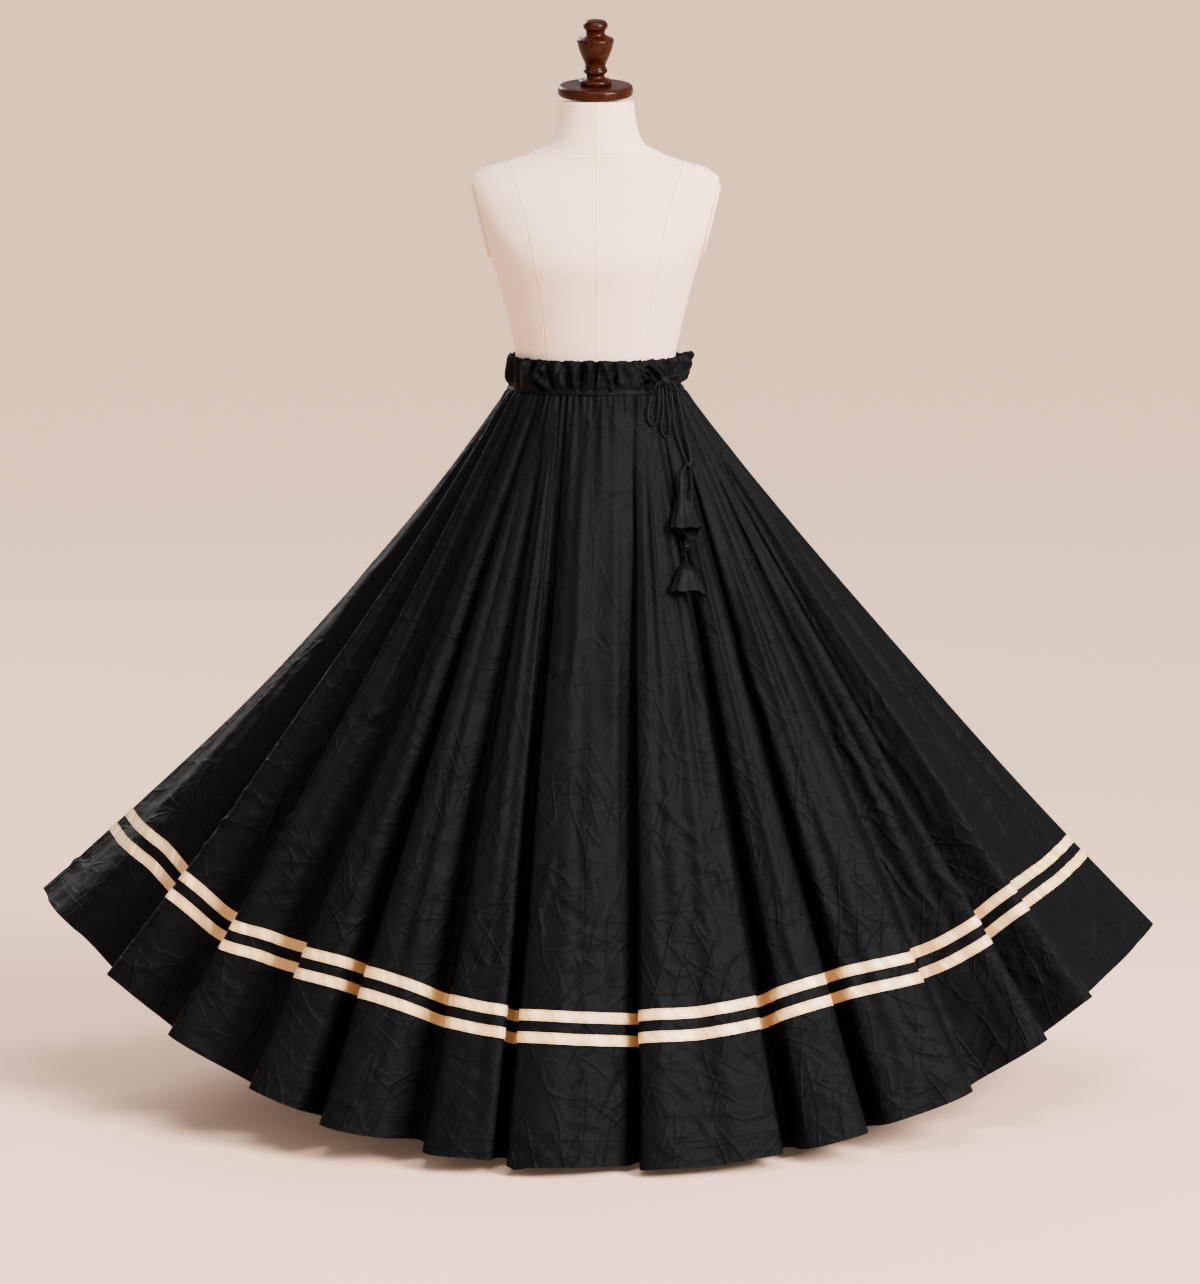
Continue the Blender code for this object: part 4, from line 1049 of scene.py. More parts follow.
@dataclass
class Skirt:
    """Six front and six back gores, gathered at the waist, and the two ribbons on them."""

    gores_per_half: int = 6
    front_columns: int = 112    # of each gore
    back_columns: int = 60
    cloth: float = 0.0012
    seam_z: float = 1.0255
    waist_half_width: float = 0.1215
    waist_half_depth: float = 0.0975
    tip_y: float = 0.18
    front_reach: float = 0.61
    back_reach: float = 0.29
    oval_power: float = 0.7
    tip_bow_left: float = 0.045
    tip_bow_right: float = 0.018
    tip_bow_power: int = 6
    even_share: float = 0.25    # how far the strands start evenly spaced on the waist
    ribbon_above_hem: float = 0.172
    ribbon_drop: float = 0.030
    ribbon_swell: float = 0.0195
    ribbon_swell_at: Pair = (0.47, 0.19)     # its place and half width
    ribbon_left_drop: float = 0.018
    ribbon_left_drop_at: Pair = (0.65, 0.76)
    ribbon_level_until: Pair = (0.62, 0.82)
    ribbon_wall: float = 0.0006
    body_rows: int = 132        # from the waist to the ribbons
    ribbon_rows: int = 3
    skirt_rows: int = 28        # from the ribbons to the hem
    gathers: int = 86
    gather_flare: float = 1.3   # how much wider a gather is where it ends
    crease_gain: float = 1.35
    soft_fade: Pair = (0.14, 0.25)   # shares over which soft folds fade
    back_shift: float = 0.012   # of the soft folds on the back, against the front's
    waves: int = 34
    wave_turns: float = 18.0    # waves round the skirt beyond which they get lower
    wave_height: float = 0.00085
    valley_mask_reach: int = 22      # columns that tell a valley from a panel, for the ribbons' painted shade
    seed: int = 11

    def gore_columns(self, half: Half) -> int:
        """How many columns of the cloth make one gore."""
        return self.front_columns if half is Half.FRONT else self.back_columns

    def hem_oval(self, x: Array, half: Half) -> tuple[Array, Array]:
        """The hem seen from above, without its folds.

        Formula: a flattened oval, y = the tips' y, plus the half's reach times
        (1 - (x / half width) squared) to the oval's power.

        Args:
            x: Places along the hem.
            half: Front or back.

        Returns:
            Its y, and the outward direction there.
        """
        reach = self.front_reach if half is Half.FRONT else self.back_reach
        half_width = np.where(x < 0.0, -LEFT_TIP_X, RIGHT_TIP_X)
        share = np.clip(1.0 - (x / half_width) ** 2, 0.0, 1.0)
        y = self.tip_y + half.value * reach * share**self.oval_power
        return y, unit(np.stack([x / half_width**2, (y - self.tip_y) / reach**2], axis=-1))

    def half_strands(self, folds: tuple[Fold, ...], half: Half) -> Strands:
        """The strands of the front or the back, from the left side fold to the right one.

        Formula: the hem is a smooth curve through the folds' points, cut into even
        steps. Each strand runs straight from the waist oval to its point of the hem, and
        its length sets how low the hem hangs there.

        Args:
            folds: The ridges and valleys of this half's hem.
            half: Front or back.

        Returns:
            The strands of this half.
        """
        hem_x = np.array([fold.hem_x for fold in folds])
        reach = np.array([fold.reach for fold in folds])
        oval_y, out = self.hem_oval(hem_x, half)
        plan = np.stack([hem_x, oval_y], axis=-1) + out * reach[:, None]
        curve, place = smooth_path(plan, CURVE_STEPS)
        run = run_along(curve)
        count = self.gores_per_half * self.gore_columns(half)
        columns = np.interp(np.linspace(0.0, run[-1], count + 1), run, place)
        hem = np.stack([np.interp(columns, place, curve[:, axis]) for axis in (0, 1)], axis=-1)
        listed, _ = smooth_path(np.array([[fold.waist_deg, fold.length] for fold in folds]),
                                CURVE_STEPS)
        even = np.linspace(-90.0, 90.0, count + 1)
        waist_deg = np.interp(columns, place, listed[:, 0])
        angle = np.radians(self.even_share * even + (1.0 - self.even_share) * waist_deg)
        waist = np.stack([self.waist_half_width * np.sin(angle),
                          half.value * self.waist_half_depth * np.cos(angle)], axis=-1)
        length = np.interp(columns, place, listed[:, 1])
        spread = np.linalg.norm(hem - waist, axis=1)
        hem_z = self.seam_z - np.sqrt(length**2 - spread**2)
        left = hem[:, 0] < 0.0
        outwards = np.clip(hem[:, 0] / np.where(left, LEFT_TIP_X, RIGHT_TIP_X), 0.0, 1.0)
        level = (length - self.level_across(length)) * (
            1.0 - smoothstep(outwards, *self.ribbon_level_until))
        most = np.where(left, self.tip_bow_left, self.tip_bow_right)
        return Strands(
            waist=np.column_stack([waist, np.full(len(waist), self.seam_z)]),
            hem=np.column_stack([hem, hem_z]),
            out=np.column_stack([np.sin(angle), half.value * np.cos(angle), np.zeros(len(angle))]),
            bow=most * outwards**self.tip_bow_power,
            band=self.ribbon_height(left, outwards) + level,
        )

    def ribbon_height(self, left: Array, outwards: Array) -> Array:
        """How far above the hem the ribbons run.

        Formula: least at the side folds and most at a bell halfway out, with a further
        drop towards the left side fold.

        Args:
            left: Whether each strand lies on the left.
            outwards: 0 at the middle of the hem to 1 at the side folds.

        Returns:
            The height of the ribbons' middle, along each strand.
        """
        swell = self.ribbon_swell * bell(outwards - self.ribbon_swell_at[0],
                                         self.ribbon_swell_at[1])
        height = self.ribbon_above_hem - self.ribbon_drop * outwards**2 + swell
        return height - self.ribbon_left_drop * left * smoothstep(
            outwards, *self.ribbon_left_drop_at)

    def level_across(self, length: Array) -> Array:
        """The cloth's length as it would be without the short valleys.

        Formula: the greatest length nearby, averaged over the same reach.
        """
        reach = len(length) // 18
        return blend_nearby(blend_nearby(length, reach, np.max), reach, np.mean)

    def all_strands(self) -> Strands:
        """The strands all round.

        Returns:
            The front's from left to right, then the back's from right to left.
        """
        front = self.half_strands(FRONT_FOLDS, Half.FRONT)
        back = self.half_strands(BACK_FOLDS, Half.BACK)
        return Strands(*(np.concatenate([near[:-1], far[::-1][:-1]])
                         for near, far in zip(front, back)))

    def row_shares(self, strands: Strands) -> Array:
        """Share of each strand's length at every row of the cloth.

        Formula: even rows between the waist, the edges of the ribbons and the hem.

        Args:
            strands: The strands all round.

        Returns:
            The shares, as rows by columns.
        """
        length = np.linalg.norm(strands.hem - strands.waist, axis=1)
        edges = [np.zeros_like(length)]
        for ribbon in RIBBONS:
            for height in (ribbon.high, ribbon.low):
                edges.append(1.0 - (strands.band + height) / length)
        edges.append(np.ones_like(length))
        counts = (self.body_rows, self.ribbon_rows, self.ribbon_rows, self.ribbon_rows,
                  self.skirt_rows)
        rows = [edges[0][None]]
        for upper, lower, count in zip(edges, edges[1:], counts):
            step = np.linspace(0.0, 1.0, count + 1)[1:, None]
            rows.append(upper + (lower - upper) * step)
        return np.concatenate(rows)

    def gather_relief(self, strands: Strands, shares: Array) -> Array:
        """Height of the small uneven gathers under the waistband.

        Formula: a sum of bells across the waist, each with its own place, width, height
        and length, over which it dies away. The cloth below the band is drawn in a
        little. At the seam itself all of it is lessened, so that the band laps over it.

        Args:
            strands: The strands all round.
            shares: Share of the strand's length at each point.

        Returns:
            Heights, as rows by columns.
        """
        rng = np.random.default_rng(self.seed)
        run = run_along(np.vstack([strands.waist, strands.waist[:1]]))
        whole, here = run[-1], run[:-1]
        step = rng.uniform(0.65, 1.45, self.gathers)
        centres = np.cumsum(step) / step.sum() * whole
        relief = np.zeros_like(shares)
        for centre, width, height, length in zip(
                centres, rng.uniform(0.0022, 0.0036, self.gathers),
                rng.uniform(0.0022, 0.0064, self.gathers),
                rng.choice((0.03, 0.04, 0.05, 0.07, 0.10, 0.16, 0.30), self.gathers)):
            aside = (here - centre + whole / 2.0) % whole - whole / 2.0
            spread = width * (1.0 + self.gather_flare * shares / length)
            relief += height * bell(aside, spread) * np.exp(-((shares / length) ** 1.5))
        relief -= 0.0022 * np.exp(-((shares / 0.08) ** 1.5))
        return relief * smoothstep(shares, -0.004, 0.008)

    def soft_relief(self, strands: Strands, shares: Array) -> Array:
        """Height of the long soft folds of the panels, on the back as on the front.

        Formula: each is a bell across the columns, which fades in below its top and out
        above its bottom.

        Args:
            strands: The strands all round.
            shares: Share of the strand's length at each point.

        Returns:
            Heights, as rows by columns.
        """
        front = np.arange(len(strands.waist)) <= self.gores_per_half * self.front_columns
        run = run_along(strands.hem)
        fade_in, fade_out = self.soft_fade
        relief = np.zeros_like(shares)
        for fold in SOFT_FOLDS:
            for side, hem_x in ((front, fold.hem_x), (~front, self.back_shift - fold.hem_x)):
                centre = run[side][np.argmin(np.abs(strands.hem[side, 0] - hem_x))]
                along = smoothstep(shares, fold.top, fold.top + fade_in)
                along *= 1.0 - smoothstep(shares, fold.bottom - fade_out, fold.bottom)
                relief += fold.height * bell(run - centre, fold.half_width) * along
        return relief

    def wave_relief(self, strands: Strands, shares: Array) -> Array:
        """Low random waves, so that no stretch of cloth is quite flat.

        Formula: a sum of sines around and along the cloth, with random phases.

        Args:
            strands: The strands all round.
            shares: Share of the strand's length at each point.

        Returns:
            Heights, as rows by columns.
        """
        rng = np.random.default_rng(self.seed + 1)
        run = run_along(strands.hem)
        around = run * math.tau / (run[-1] + run[1])
        relief = np.zeros_like(shares)
        for turns, along, phase in zip(rng.integers(24, 110, self.waves),
                                       rng.uniform(-16.0, 16.0, self.waves),
                                       rng.uniform(0.0, math.tau, self.waves)):
            relief += (np.sin(turns * around + along * shares + phase)
                       * self.wave_turns / (turns + self.wave_turns))
        return relief * self.wave_height * smoothstep(shares, 0.02, 0.35)

    def surface(self) -> tuple[Array, Array]:
        """The cloth's middle surface with all its relief.

        Formula: straight strands, bowed in at the side folds. The gathers stand level
        out of the waist, and all else along the surface's own normals.

        Returns:
            Its points as rows by columns by 3, and its outward normals.
        """
        strands = self.all_strands()
        shares = self.row_shares(strands)
        share = shares[..., None]
        sideways = np.zeros_like(strands.hem)
        sideways[:, 0] = np.sign(strands.hem[:, 0])
        sag = 4.0 * share * (1.0 - share) * strands.bow[:, None]
        middle = strands.waist + (strands.hem - strands.waist) * share - sideways * sag
        middle = middle + strands.out * self.gather_relief(strands, shares)[..., None]
        normal = grid_normals(middle)
        relief = self.soft_relief(strands, shares) + self.wave_relief(strands, shares)
        relief += self.crease_gain * crease_relief(middle, CREASES)
        relief *= smoothstep(shares, 0.0, 0.05)
        middle = middle + normal * relief[..., None]
        normal = grid_normals(middle)
        normal[0, :, 2] = 0.0
        normal[0] = unit(normal[0])
        return middle, normal

    def flat_places(self, grid: Array) -> Array:
        """Places of a gore's points on its flat cloth.

        Formula: the distance run along each row from the gore's middle, and the distance
        run up each column from the hem.

        Args:
            grid: The gore's points, as rows by columns by 3.

        Returns:
            Place across from the middle and place up, as rows by columns by 2.
        """
        step = np.linalg.norm(np.diff(grid, axis=1), axis=-1)
        run = np.concatenate([np.zeros((len(grid), 1)), np.cumsum(step, axis=1)], axis=1)
        rise = np.linalg.norm(np.diff(grid, axis=0), axis=-1)[::-1]
        up = np.concatenate([np.zeros((1, grid.shape[1])), np.cumsum(rise, axis=0)])[::-1]
        return np.stack([run - run[:, -1:] / 2.0, up], axis=-1)

    def build(self, band: Object) -> Array:
        """Make the gores and ribbons.

        Args:
            band: The waistband that the gores hang from; not used.

        Returns:
            The outer surface of the cloth, for what lies on it.
        """
        cotton, satin = BLACK_COTTON.material(), GOLD_SATIN.material()
        middle, normal = self.surface()
        outer = middle + normal * self.cloth / 2.0
        first = 0
        for number in range(2 * self.gores_per_half):
            half = Half.FRONT if number < self.gores_per_half else Half.BACK
            last = first + self.gore_columns(half)
            grid = outer[:, np.arange(first, last + 1) % outer.shape[1]]
            first = last
            flat = self.flat_places(grid)
            node = f"{half.name.lower()}_gore_{number % self.gores_per_half + 1}"
            edge = np.abs(flat[:, -1:, 0]) - np.abs(flat[..., 0])
            piece = add_surface(f"{node}_cloth", grid, cotton, cloth_place=flat,
                                marks={"side_edge": edge}, thickness=self.cloth)
            settle(piece, "black_cotton", node)
        self.add_ribbons(middle, normal, satin)
        return outer

    def valley_shade_mask(self, grid: Array) -> Array:
        """How deep each point lies in a valley, from 0 on the panels to 1, which darkens the
        ribbons as painted shade.

        Formula: the distance from the part's axis, against its mean a short way round.
        """
        out = np.hypot(grid[..., 0], grid[..., 1])
        return smoothstep(blend_nearby(out, self.valley_mask_reach, np.mean, "wrap") - out,
                          0.004, 0.020)

    def add_ribbons(self, middle: Array, normal: Array,
                    satin: Material) -> None:
        """Sew the two ribbons on: the cloth's own points, moved out.

        Args:
            middle: The cloth's middle surface.
            normal: Its outward normals.
            satin: The ribbons' finish.
        """
        lift = self.cloth / 2.0 + SEAM_GAP + self.ribbon_wall
        for index, ribbon in enumerate(RIBBONS):
            first = self.body_rows + 2 * index * self.ribbon_rows
            rows = slice(first, first + self.ribbon_rows + 1)
            grid = middle[rows] + normal[rows] * lift
            run = run_along(np.concatenate([grid[1], grid[1, :1]]))
            up = np.linspace(ribbon.high - ribbon.low, 0.0, self.ribbon_rows + 1)
            # painted shade: the ribbons' colour darkens where they lie in the cloth's valleys
            piece = add_surface(f"{ribbon.name}_satin", grid, satin, wrap=True,
                                cloth_place=flat_grid(run, up),
                                marks={"valley_shade_mask": self.valley_shade_mask(grid)},
                                thickness=self.ribbon_wall)
            settle(piece, "gold_satin", ribbon.name)


@dataclass
class Waistband:
    """The doubled casing: puckered on its drawstring, with a frilled upper edge."""

    columns: int = 840
    rows: int = 34
    pleats: int = 46
    cloth: float = 0.0020
    bunch_deg: float = 84.0
    bunch_spread: float = 11.0
    front_pleat: float = 0.45   # depth of the puckers in front, over that at the sides
    lean_height: float = 0.022
    ripple_height: float = 0.0011
    crease_gain: float = 1.45
    seed: int = 5

    def pleat_wave(self, angle: Array, lean: Array) -> Array:
        """Uneven puckers around the ring.

        Formula: rounded ridges with narrow valleys, as the root of a sine's size. Random
        steps make them uneven, and the lean shifts them sideways from row to row.

        Args:
            angle: Each column's angle.
            lean: How far each point is shifted round.

        Returns:
            Heights from about -0.45 to 0.65, as rows by columns.
        """
        rng = np.random.default_rng(self.seed)
        step = rng.uniform(0.40, 1.70, self.pleats)
        edges = np.concatenate([[0.0], np.cumsum(step) / step.sum()]) * math.tau
        heights = rng.uniform(0.30, 1.10, self.pleats)
        place = (angle[None, :] + lean) % math.tau
        number = np.interp(place, edges, np.arange(self.pleats + 1))
        height = heights[np.minimum(number.astype(int), self.pleats - 1)]
        return height * np.abs(np.sin(math.pi * number)) ** 0.65 - 0.45

    def outer_surface(self, skirt: Skirt, angle: Array, outward: Array) -> Array:
        """The outside of the band, from its seam up to the frilled edge.

        Formula: the waist oval is carried up a smooth profile. Each row adds its puckers
        and, at the right side, a bell where the gathered-up cloth stands out. Creases are
        pressed into it level outwards.

        Args:
            skirt: The skirt that hangs from the band.
            angle: Each column's angle.
            outward: Each column's level direction out of the waist.

        Returns:
            Its points, as rows by columns by 3.
        """
        profile, _ = smooth_path(np.array([row[1:] for row in BAND_ROWS]), self.rows)
        rise, out, pleat, bunch = (profile[:, axis, None] for axis in range(4))
        rng = np.random.default_rng(self.seed + 3)
        share = rise / rise[-1]
        lean = np.zeros((len(profile), self.columns))
        ripple = np.zeros_like(lean)
        for turns, phase in zip((5, 9, 14, 23), rng.uniform(0.0, math.tau, 4)):
            lean += self.lean_height * np.sin(turns * angle + phase + 2.2 * share)
        for turns, phase, slant in zip((31, 47, 76, 103, 140), rng.uniform(0.0, math.tau, 5),
                                       rng.uniform(-9.0, 9.0, 5)):
            ripple += np.sin(turns * angle + phase + slant * share) * 22.0 / turns
        bunched = bell(np.degrees(angle) - self.bunch_deg, self.bunch_spread)
        crumple = 1.0 + 0.5 * np.sin(9.0 * share + 24.0 * angle) * bunched
        facing = self.front_pleat + (1.0 - self.front_pleat) * smoothstep(
            np.abs(angle), math.radians(50), math.radians(75))
        offset = out + pleat * facing * self.pleat_wave(angle, lean) + bunch * bunched * crumple
        offset = offset + ripple * self.ripple_height * smoothstep(share, 0.05, 0.4)
        top_wave = (self.pleat_wave(angle, lean[-1:]) * 0.0022 + ripple[-1:] * 0.0007
                    - 0.0010 + 0.0065 * bunched) * smoothstep(share, 0.55, 1.0)
        waist = outward * (skirt.waist_half_width, skirt.waist_half_depth)
        height = skirt.seam_z + rise + top_wave
        outer = np.dstack([waist + outward * offset[..., None], height])
        pressed = crease_relief(outer, BAND_CREASES) * smoothstep(share, 0.0, 0.15)
        offset = offset + self.crease_gain * pressed
        return np.dstack([waist + outward * offset[..., None], height])

    def build(self, skirt: Skirt) -> tuple[Object, Array]:
        """Make the waistband.

        Formula: the outer surface turns over at the top and comes down inside, a wall's
        thickness in.

        Args:
            skirt: The skirt that hangs from the band.

        Returns:
            The piece, and its outer surface.
        """
        angle = ring_angles(self.columns, -math.pi)
        outward = np.stack([np.sin(angle), -np.cos(angle)], axis=-1)
        outer = self.outer_surface(skirt, angle, outward)[::-1]
        wall = 0.9 * self.cloth
        over = outer[:1] + np.column_stack([-outward * wall * 0.35,
                                            np.full(self.columns, wall * 0.4)])
        inner = outer.copy()
        inner[..., :2] -= outward * wall
        grid = np.concatenate([inner[::-2][:-1], inner[:1], over, outer, inner[-1:]])
        halfway = outer[len(outer) // 2]
        run = run_along(np.concatenate([halfway, halfway[:1]]))
        down = np.r_[0.0, np.cumsum(np.linalg.norm(np.diff(grid, axis=0), axis=-1).mean(axis=1))]
        piece = add_surface("waistband_cloth", grid, BAND_COTTON.material(), wrap=True,
                            cloth_place=flat_grid(run % 0.9, 0.5 - down), weld=True)
        settle(piece, "black_cotton", "waistband")
        return piece, outer


class ClothFront:
    """The front of the cloth, for finding what lies just before it."""

    def __init__(self, *grids: Array) -> None:
        """Keep the surfaces in a search tree.

        Args:
            grids: Surfaces, each as rows by columns by 3.
        """
        points: list = []
        quads: list = []
        for grid in grids:
            rows, columns = grid.shape[:2]
            number = np.arange(rows * columns).reshape(rows, columns) + len(points)
            points.extend(grid.reshape(-1, 3).tolist())
            quads.extend(quads_between(number[:, :-1], number[:, 1:]).tolist())
        self.tree = BVHTree.FromPolygons(points, quads)

    def foremost(self, x: float, z: float) -> float:
        """The foremost y of the cloth at a place seen from the front, 0 off the cloth."""
        hit = self.tree.ray_cast(Vector((x, -1.5, z)), Vector((0.0, 1.0, 0.0)))[0]
        return hit.y if hit else 0.0

    def in_front(self, x: float, z: float, half_width: float, half_height: float,
                 half_depth: float, lift: float) -> Array:
        """A point whose surroundings clear the cloth by the lift.

        Args:
            x: Its place across.
            z: Its height.
            half_width: How far round it to the sides the cloth is looked for.
            half_height: How far above and below.
            half_depth: Half the depth of what lies there.
            lift: Its gap to the cloth.

        Returns:
            The point.
        """
        nearest = min(self.foremost(x + sx * half_width, z + sz * half_height)
                      for sx in (-1.0, -0.5, 0.0, 0.5, 1.0) for sz in (-1.0, 0.0, 1.0))
        return np.array([x, nearest - lift - half_depth, z])


def tube(path: Array, radius: Array, sides: int) -> Array:
    """Carry a circle along a path.

    Formula: at each point two directions square to the path span the circle: one is the
    path's direction crossed with the y axis, the other is crossed with both.

    Args:
        path: Points of the path.
        radius: The circle's radius at each point.
        sides: Points on the circle.

    Returns:
        Points as rows by columns by 3, with a pole at each end.
    """
    ahead = unit(np.gradient(path, axis=0))
    aside = unit(np.cross(ahead, (0.0, 1.0, 0.0)))
    above = np.cross(aside, ahead)
    angle = ring_angles(sides)[None, :, None]
    ring = np.cos(angle) * aside[:, None] + np.sin(angle) * above[:, None]
    grid = path[:, None] + ring * radius[:, None, None]
    ends = [np.repeat(path[[end]][:, None], sides, axis=1) for end in (0, -1)]
    return np.concatenate([ends[0], grid, ends[1]])


@dataclass
class Drawstring:
    """The bow at the viewer's right, its tails, knots and the two cloth tassels."""

    radius: float = 0.0015
    window: float = 0.0028      # how far round a cord the cloth is looked for
    sides: int = 12
    point_step: float = 0.0022
    smoothing: int = 5          # points on each side that level a cord's depth
    knot_rows: int = 30
    knot_sides: int = 48
    knot_sunk: float = 0.0006   # how far a cord starts inside its knot
    tassel_rows: int = 44
    tassel_sides: int = 96
    tassel_wall: float = 0.0008
    flutes: int = 6
    corner_drop: float = 0.0165
    lip_wave: float = 0.0010

    def knot_box(self, node: str) -> tuple[Array, Array]:
        """Centre and radii of a knot, from the box of its solid.

        Args:
            node: The knot's solid.

        Returns:
            Both, moved and stretched as the knot is.
        """
        low, high = (np.array(corner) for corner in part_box(node))
        knot = KNOTS[node]
        return (low + high) / 2.0 + knot.shift, (high - low) / 2.0 * knot.stretch

    def add_knot(self, knot: Knot, material: Material) -> Object:
        """Make a knot.

        Formula: a rounded lump whose surface rises and falls along windings, which are
        the sine of a few turns round it plus its height. A square one is drawn in halfway
        between its ends and its middle, which makes a diamond of it.

        Args:
            knot: Its turns, relief, stretch and squareness.
            material: Its finish.

        Returns:
            The piece.
        """
        centre, radii = self.knot_box(knot.node)
        tilt = np.linspace(0.0, math.pi, self.knot_rows)[:, None]
        turn = ring_angles(self.knot_sides)[None, :]
        wind = np.sin(3.0 * turn + knot.turns * np.cos(tilt) * 2.0)
        size = 1.0 - knot.relief * (0.5 - 0.5 * np.abs(wind) ** 0.7) * np.sin(tilt)
        corners = (np.abs(np.sin(tilt)) + np.abs(np.cos(tilt))) ** 1.15
        size = size * (1.0 + knot.square * (1.0 / corners - 1.0))
        x = np.sin(tilt) * np.cos(turn) * size
        y = np.sin(tilt) * np.sin(turn) * size
        z = np.cos(tilt) * np.ones_like(turn) * size
        flat = flat_grid(np.linspace(0.0, 0.04, self.knot_sides + 1),
                         np.linspace(0.03, 0.0, self.knot_rows))
        piece = add_surface(knot.node + "_wraps", centre + np.stack([x, y, z], axis=-1) * radii,
                            material, wrap=True, cloth_place=flat, weld=True)
        return settle(piece, "black_cotton", knot.node)

    def drape(self, front: ClothFront, route: tuple[RoutePoint, ...], start: str,
              end: str | None, end_points: tuple = ()) -> Array:
        """Lay a cord along its route, just in front of the cloth.

        Formula: the route is smoothed, each point is brought to the front of the cloth
        around it, and its depth is the mean of the foremost depths beside it. The path
        leaves its knots straight out of their surface.

        Args:
            front: The cloth that it lies on.
            route: Its places and gaps to the cloth.
            start: The knot that it leaves.
            end: The knot that it comes back to, if it does.
            end_points: Further points that it runs on to.

        Returns:
            Points of its path, evenly spaced.
        """
        smooth, _ = smooth_path(np.array(route), 14 * len(route))
        points = np.array([front.in_front(x, z, self.window, self.window, self.radius, lift)
                           for x, z, lift in smooth])
        for blend in (np.min, np.mean, np.mean):
            points[:, 1] = blend_nearby(points[:, 1], self.smoothing, blend)
        points = self.leave_knot(points, start)
        if end:
            points = self.leave_knot(points[::-1], end)[::-1]
        points = np.vstack([points, *end_points])
        run = run_along(points)
        even = np.linspace(0.0, run[-1], int(run[-1] / self.point_step) + 1)
        path = np.stack([np.interp(even, run, points[:, axis]) for axis in range(3)], axis=-1)
        inner = (path[:-2] + 2.0 * path[1:-1] + path[2:]) / 4.0
        return np.vstack([path[:1], inner, path[-1:]])

    def leave_knot(self, points: Array, node: str) -> Array:
        """Start the path at the knot's surface, heading straight out of it.

        Formula: the knot is an ellipsoid, and a point is outside it where its offsets
        over the radii make a vector longer than 1.

        Args:
            points: The path.
            node: The knot's solid.

        Returns:
            The path from the knot's surface on.
        """
        centre, radii = self.knot_box(node)
        away = np.linalg.norm((points - centre) / (radii + self.radius), axis=1)
        points = points[int(np.argmax(away > 1.0)):]
        heading = unit(points[0] - centre)
        surface = 1.0 / np.linalg.norm(heading / radii)
        return np.vstack([centre + heading * (surface - self.knot_sunk), points])

    def add_cord(self, name: str, path: Array, material: Material,
                 nodes: tuple[str, ...]) -> Object:
        """Args:
            name: Its name.
            path: Its centreline.
            material: Its finish.
            nodes: The solids whose place it takes.

        Returns:
            The piece.
        """
        grid = tube(path, np.full(len(path), self.radius), self.sides)
        run = run_along(path)
        flat = flat_grid(np.linspace(0.0, math.tau * self.radius, self.sides + 1),
                         np.r_[0.0, run, run[-1]])
        piece = add_surface(name, grid, material, wrap=True, cloth_place=flat, weld=True)
        settle(piece, "black_cotton", *nodes)
        return piece

    def add_tassel(self, front: ClothFront, node: str, rings: tuple[TasselRing, ...],
                   corner_deg: float, material: Material
                   ) -> tuple[Object, Array]:
        """Make a tassel: a folded bell of cloth, open and dark below.

        Formula: rings of the table, smoothed, are squeezed by flutes that deepen downwards.
        The mouth's edge hangs lower towards one direction, as a folded corner does.

        Args:
            front: The cloth that it lies on.
            node: Its solid.
            rings: Its rings from the neck down.
            corner_deg: Direction of its folded corner, seen from above.
            material: Its finish.

        Returns:
            The piece, and points of its axis from its top towards its mouth.
        """
        listed = np.array([[*front.in_front(ring.x, ring.z, ring.half_width, 0.004,
                                            ring.half_depth, ring.lift),
                            ring.half_width, ring.half_depth] for ring in rings])
        smooth, place = smooth_path(listed, self.tassel_rows)
        share = (place / place[-1])[:, None]
        angle = ring_angles(self.tassel_sides)[None, :]
        depth = 0.04 + 0.17 * smoothstep(share, 0.25, 0.9)
        crest = np.abs(np.sin(0.5 * self.flutes * angle + 1.4 * share + 0.5)) ** 0.8
        squeeze = 1.0 - depth * (1.0 - crest)
        low_corner = np.clip(np.cos(angle - math.radians(corner_deg)), 0.0, 1.0) ** 2.2
        drop = (self.corner_drop * low_corner
                + self.lip_wave * np.sin(self.flutes * angle)) * share**4
        x = smooth[:, None, 0] + smooth[:, None, 3] * squeeze * np.cos(angle) + drop * 0.15
        y = smooth[:, None, 1] + smooth[:, None, 4] * squeeze * np.sin(angle) - drop * 0.62
        grid = np.stack([x, y, smooth[:, None, 2] - drop], axis=-1)
        crown = np.broadcast_to(grid[0].mean(axis=0), grid[:1].shape)
        flat = flat_grid(np.linspace(0.0, 0.12, self.tassel_sides + 1),
                         0.2 - np.linspace(0.0, 0.075, self.tassel_rows))
        piece = add_surface(node + "_folds", np.concatenate([crown, grid]), material, wrap=True,
                            cloth_place=np.concatenate([flat[:1], flat]),
                            thickness=self.tassel_wall, weld=True)
        return settle(piece, "black_cotton", node), smooth[[0, 20, 38], :3]

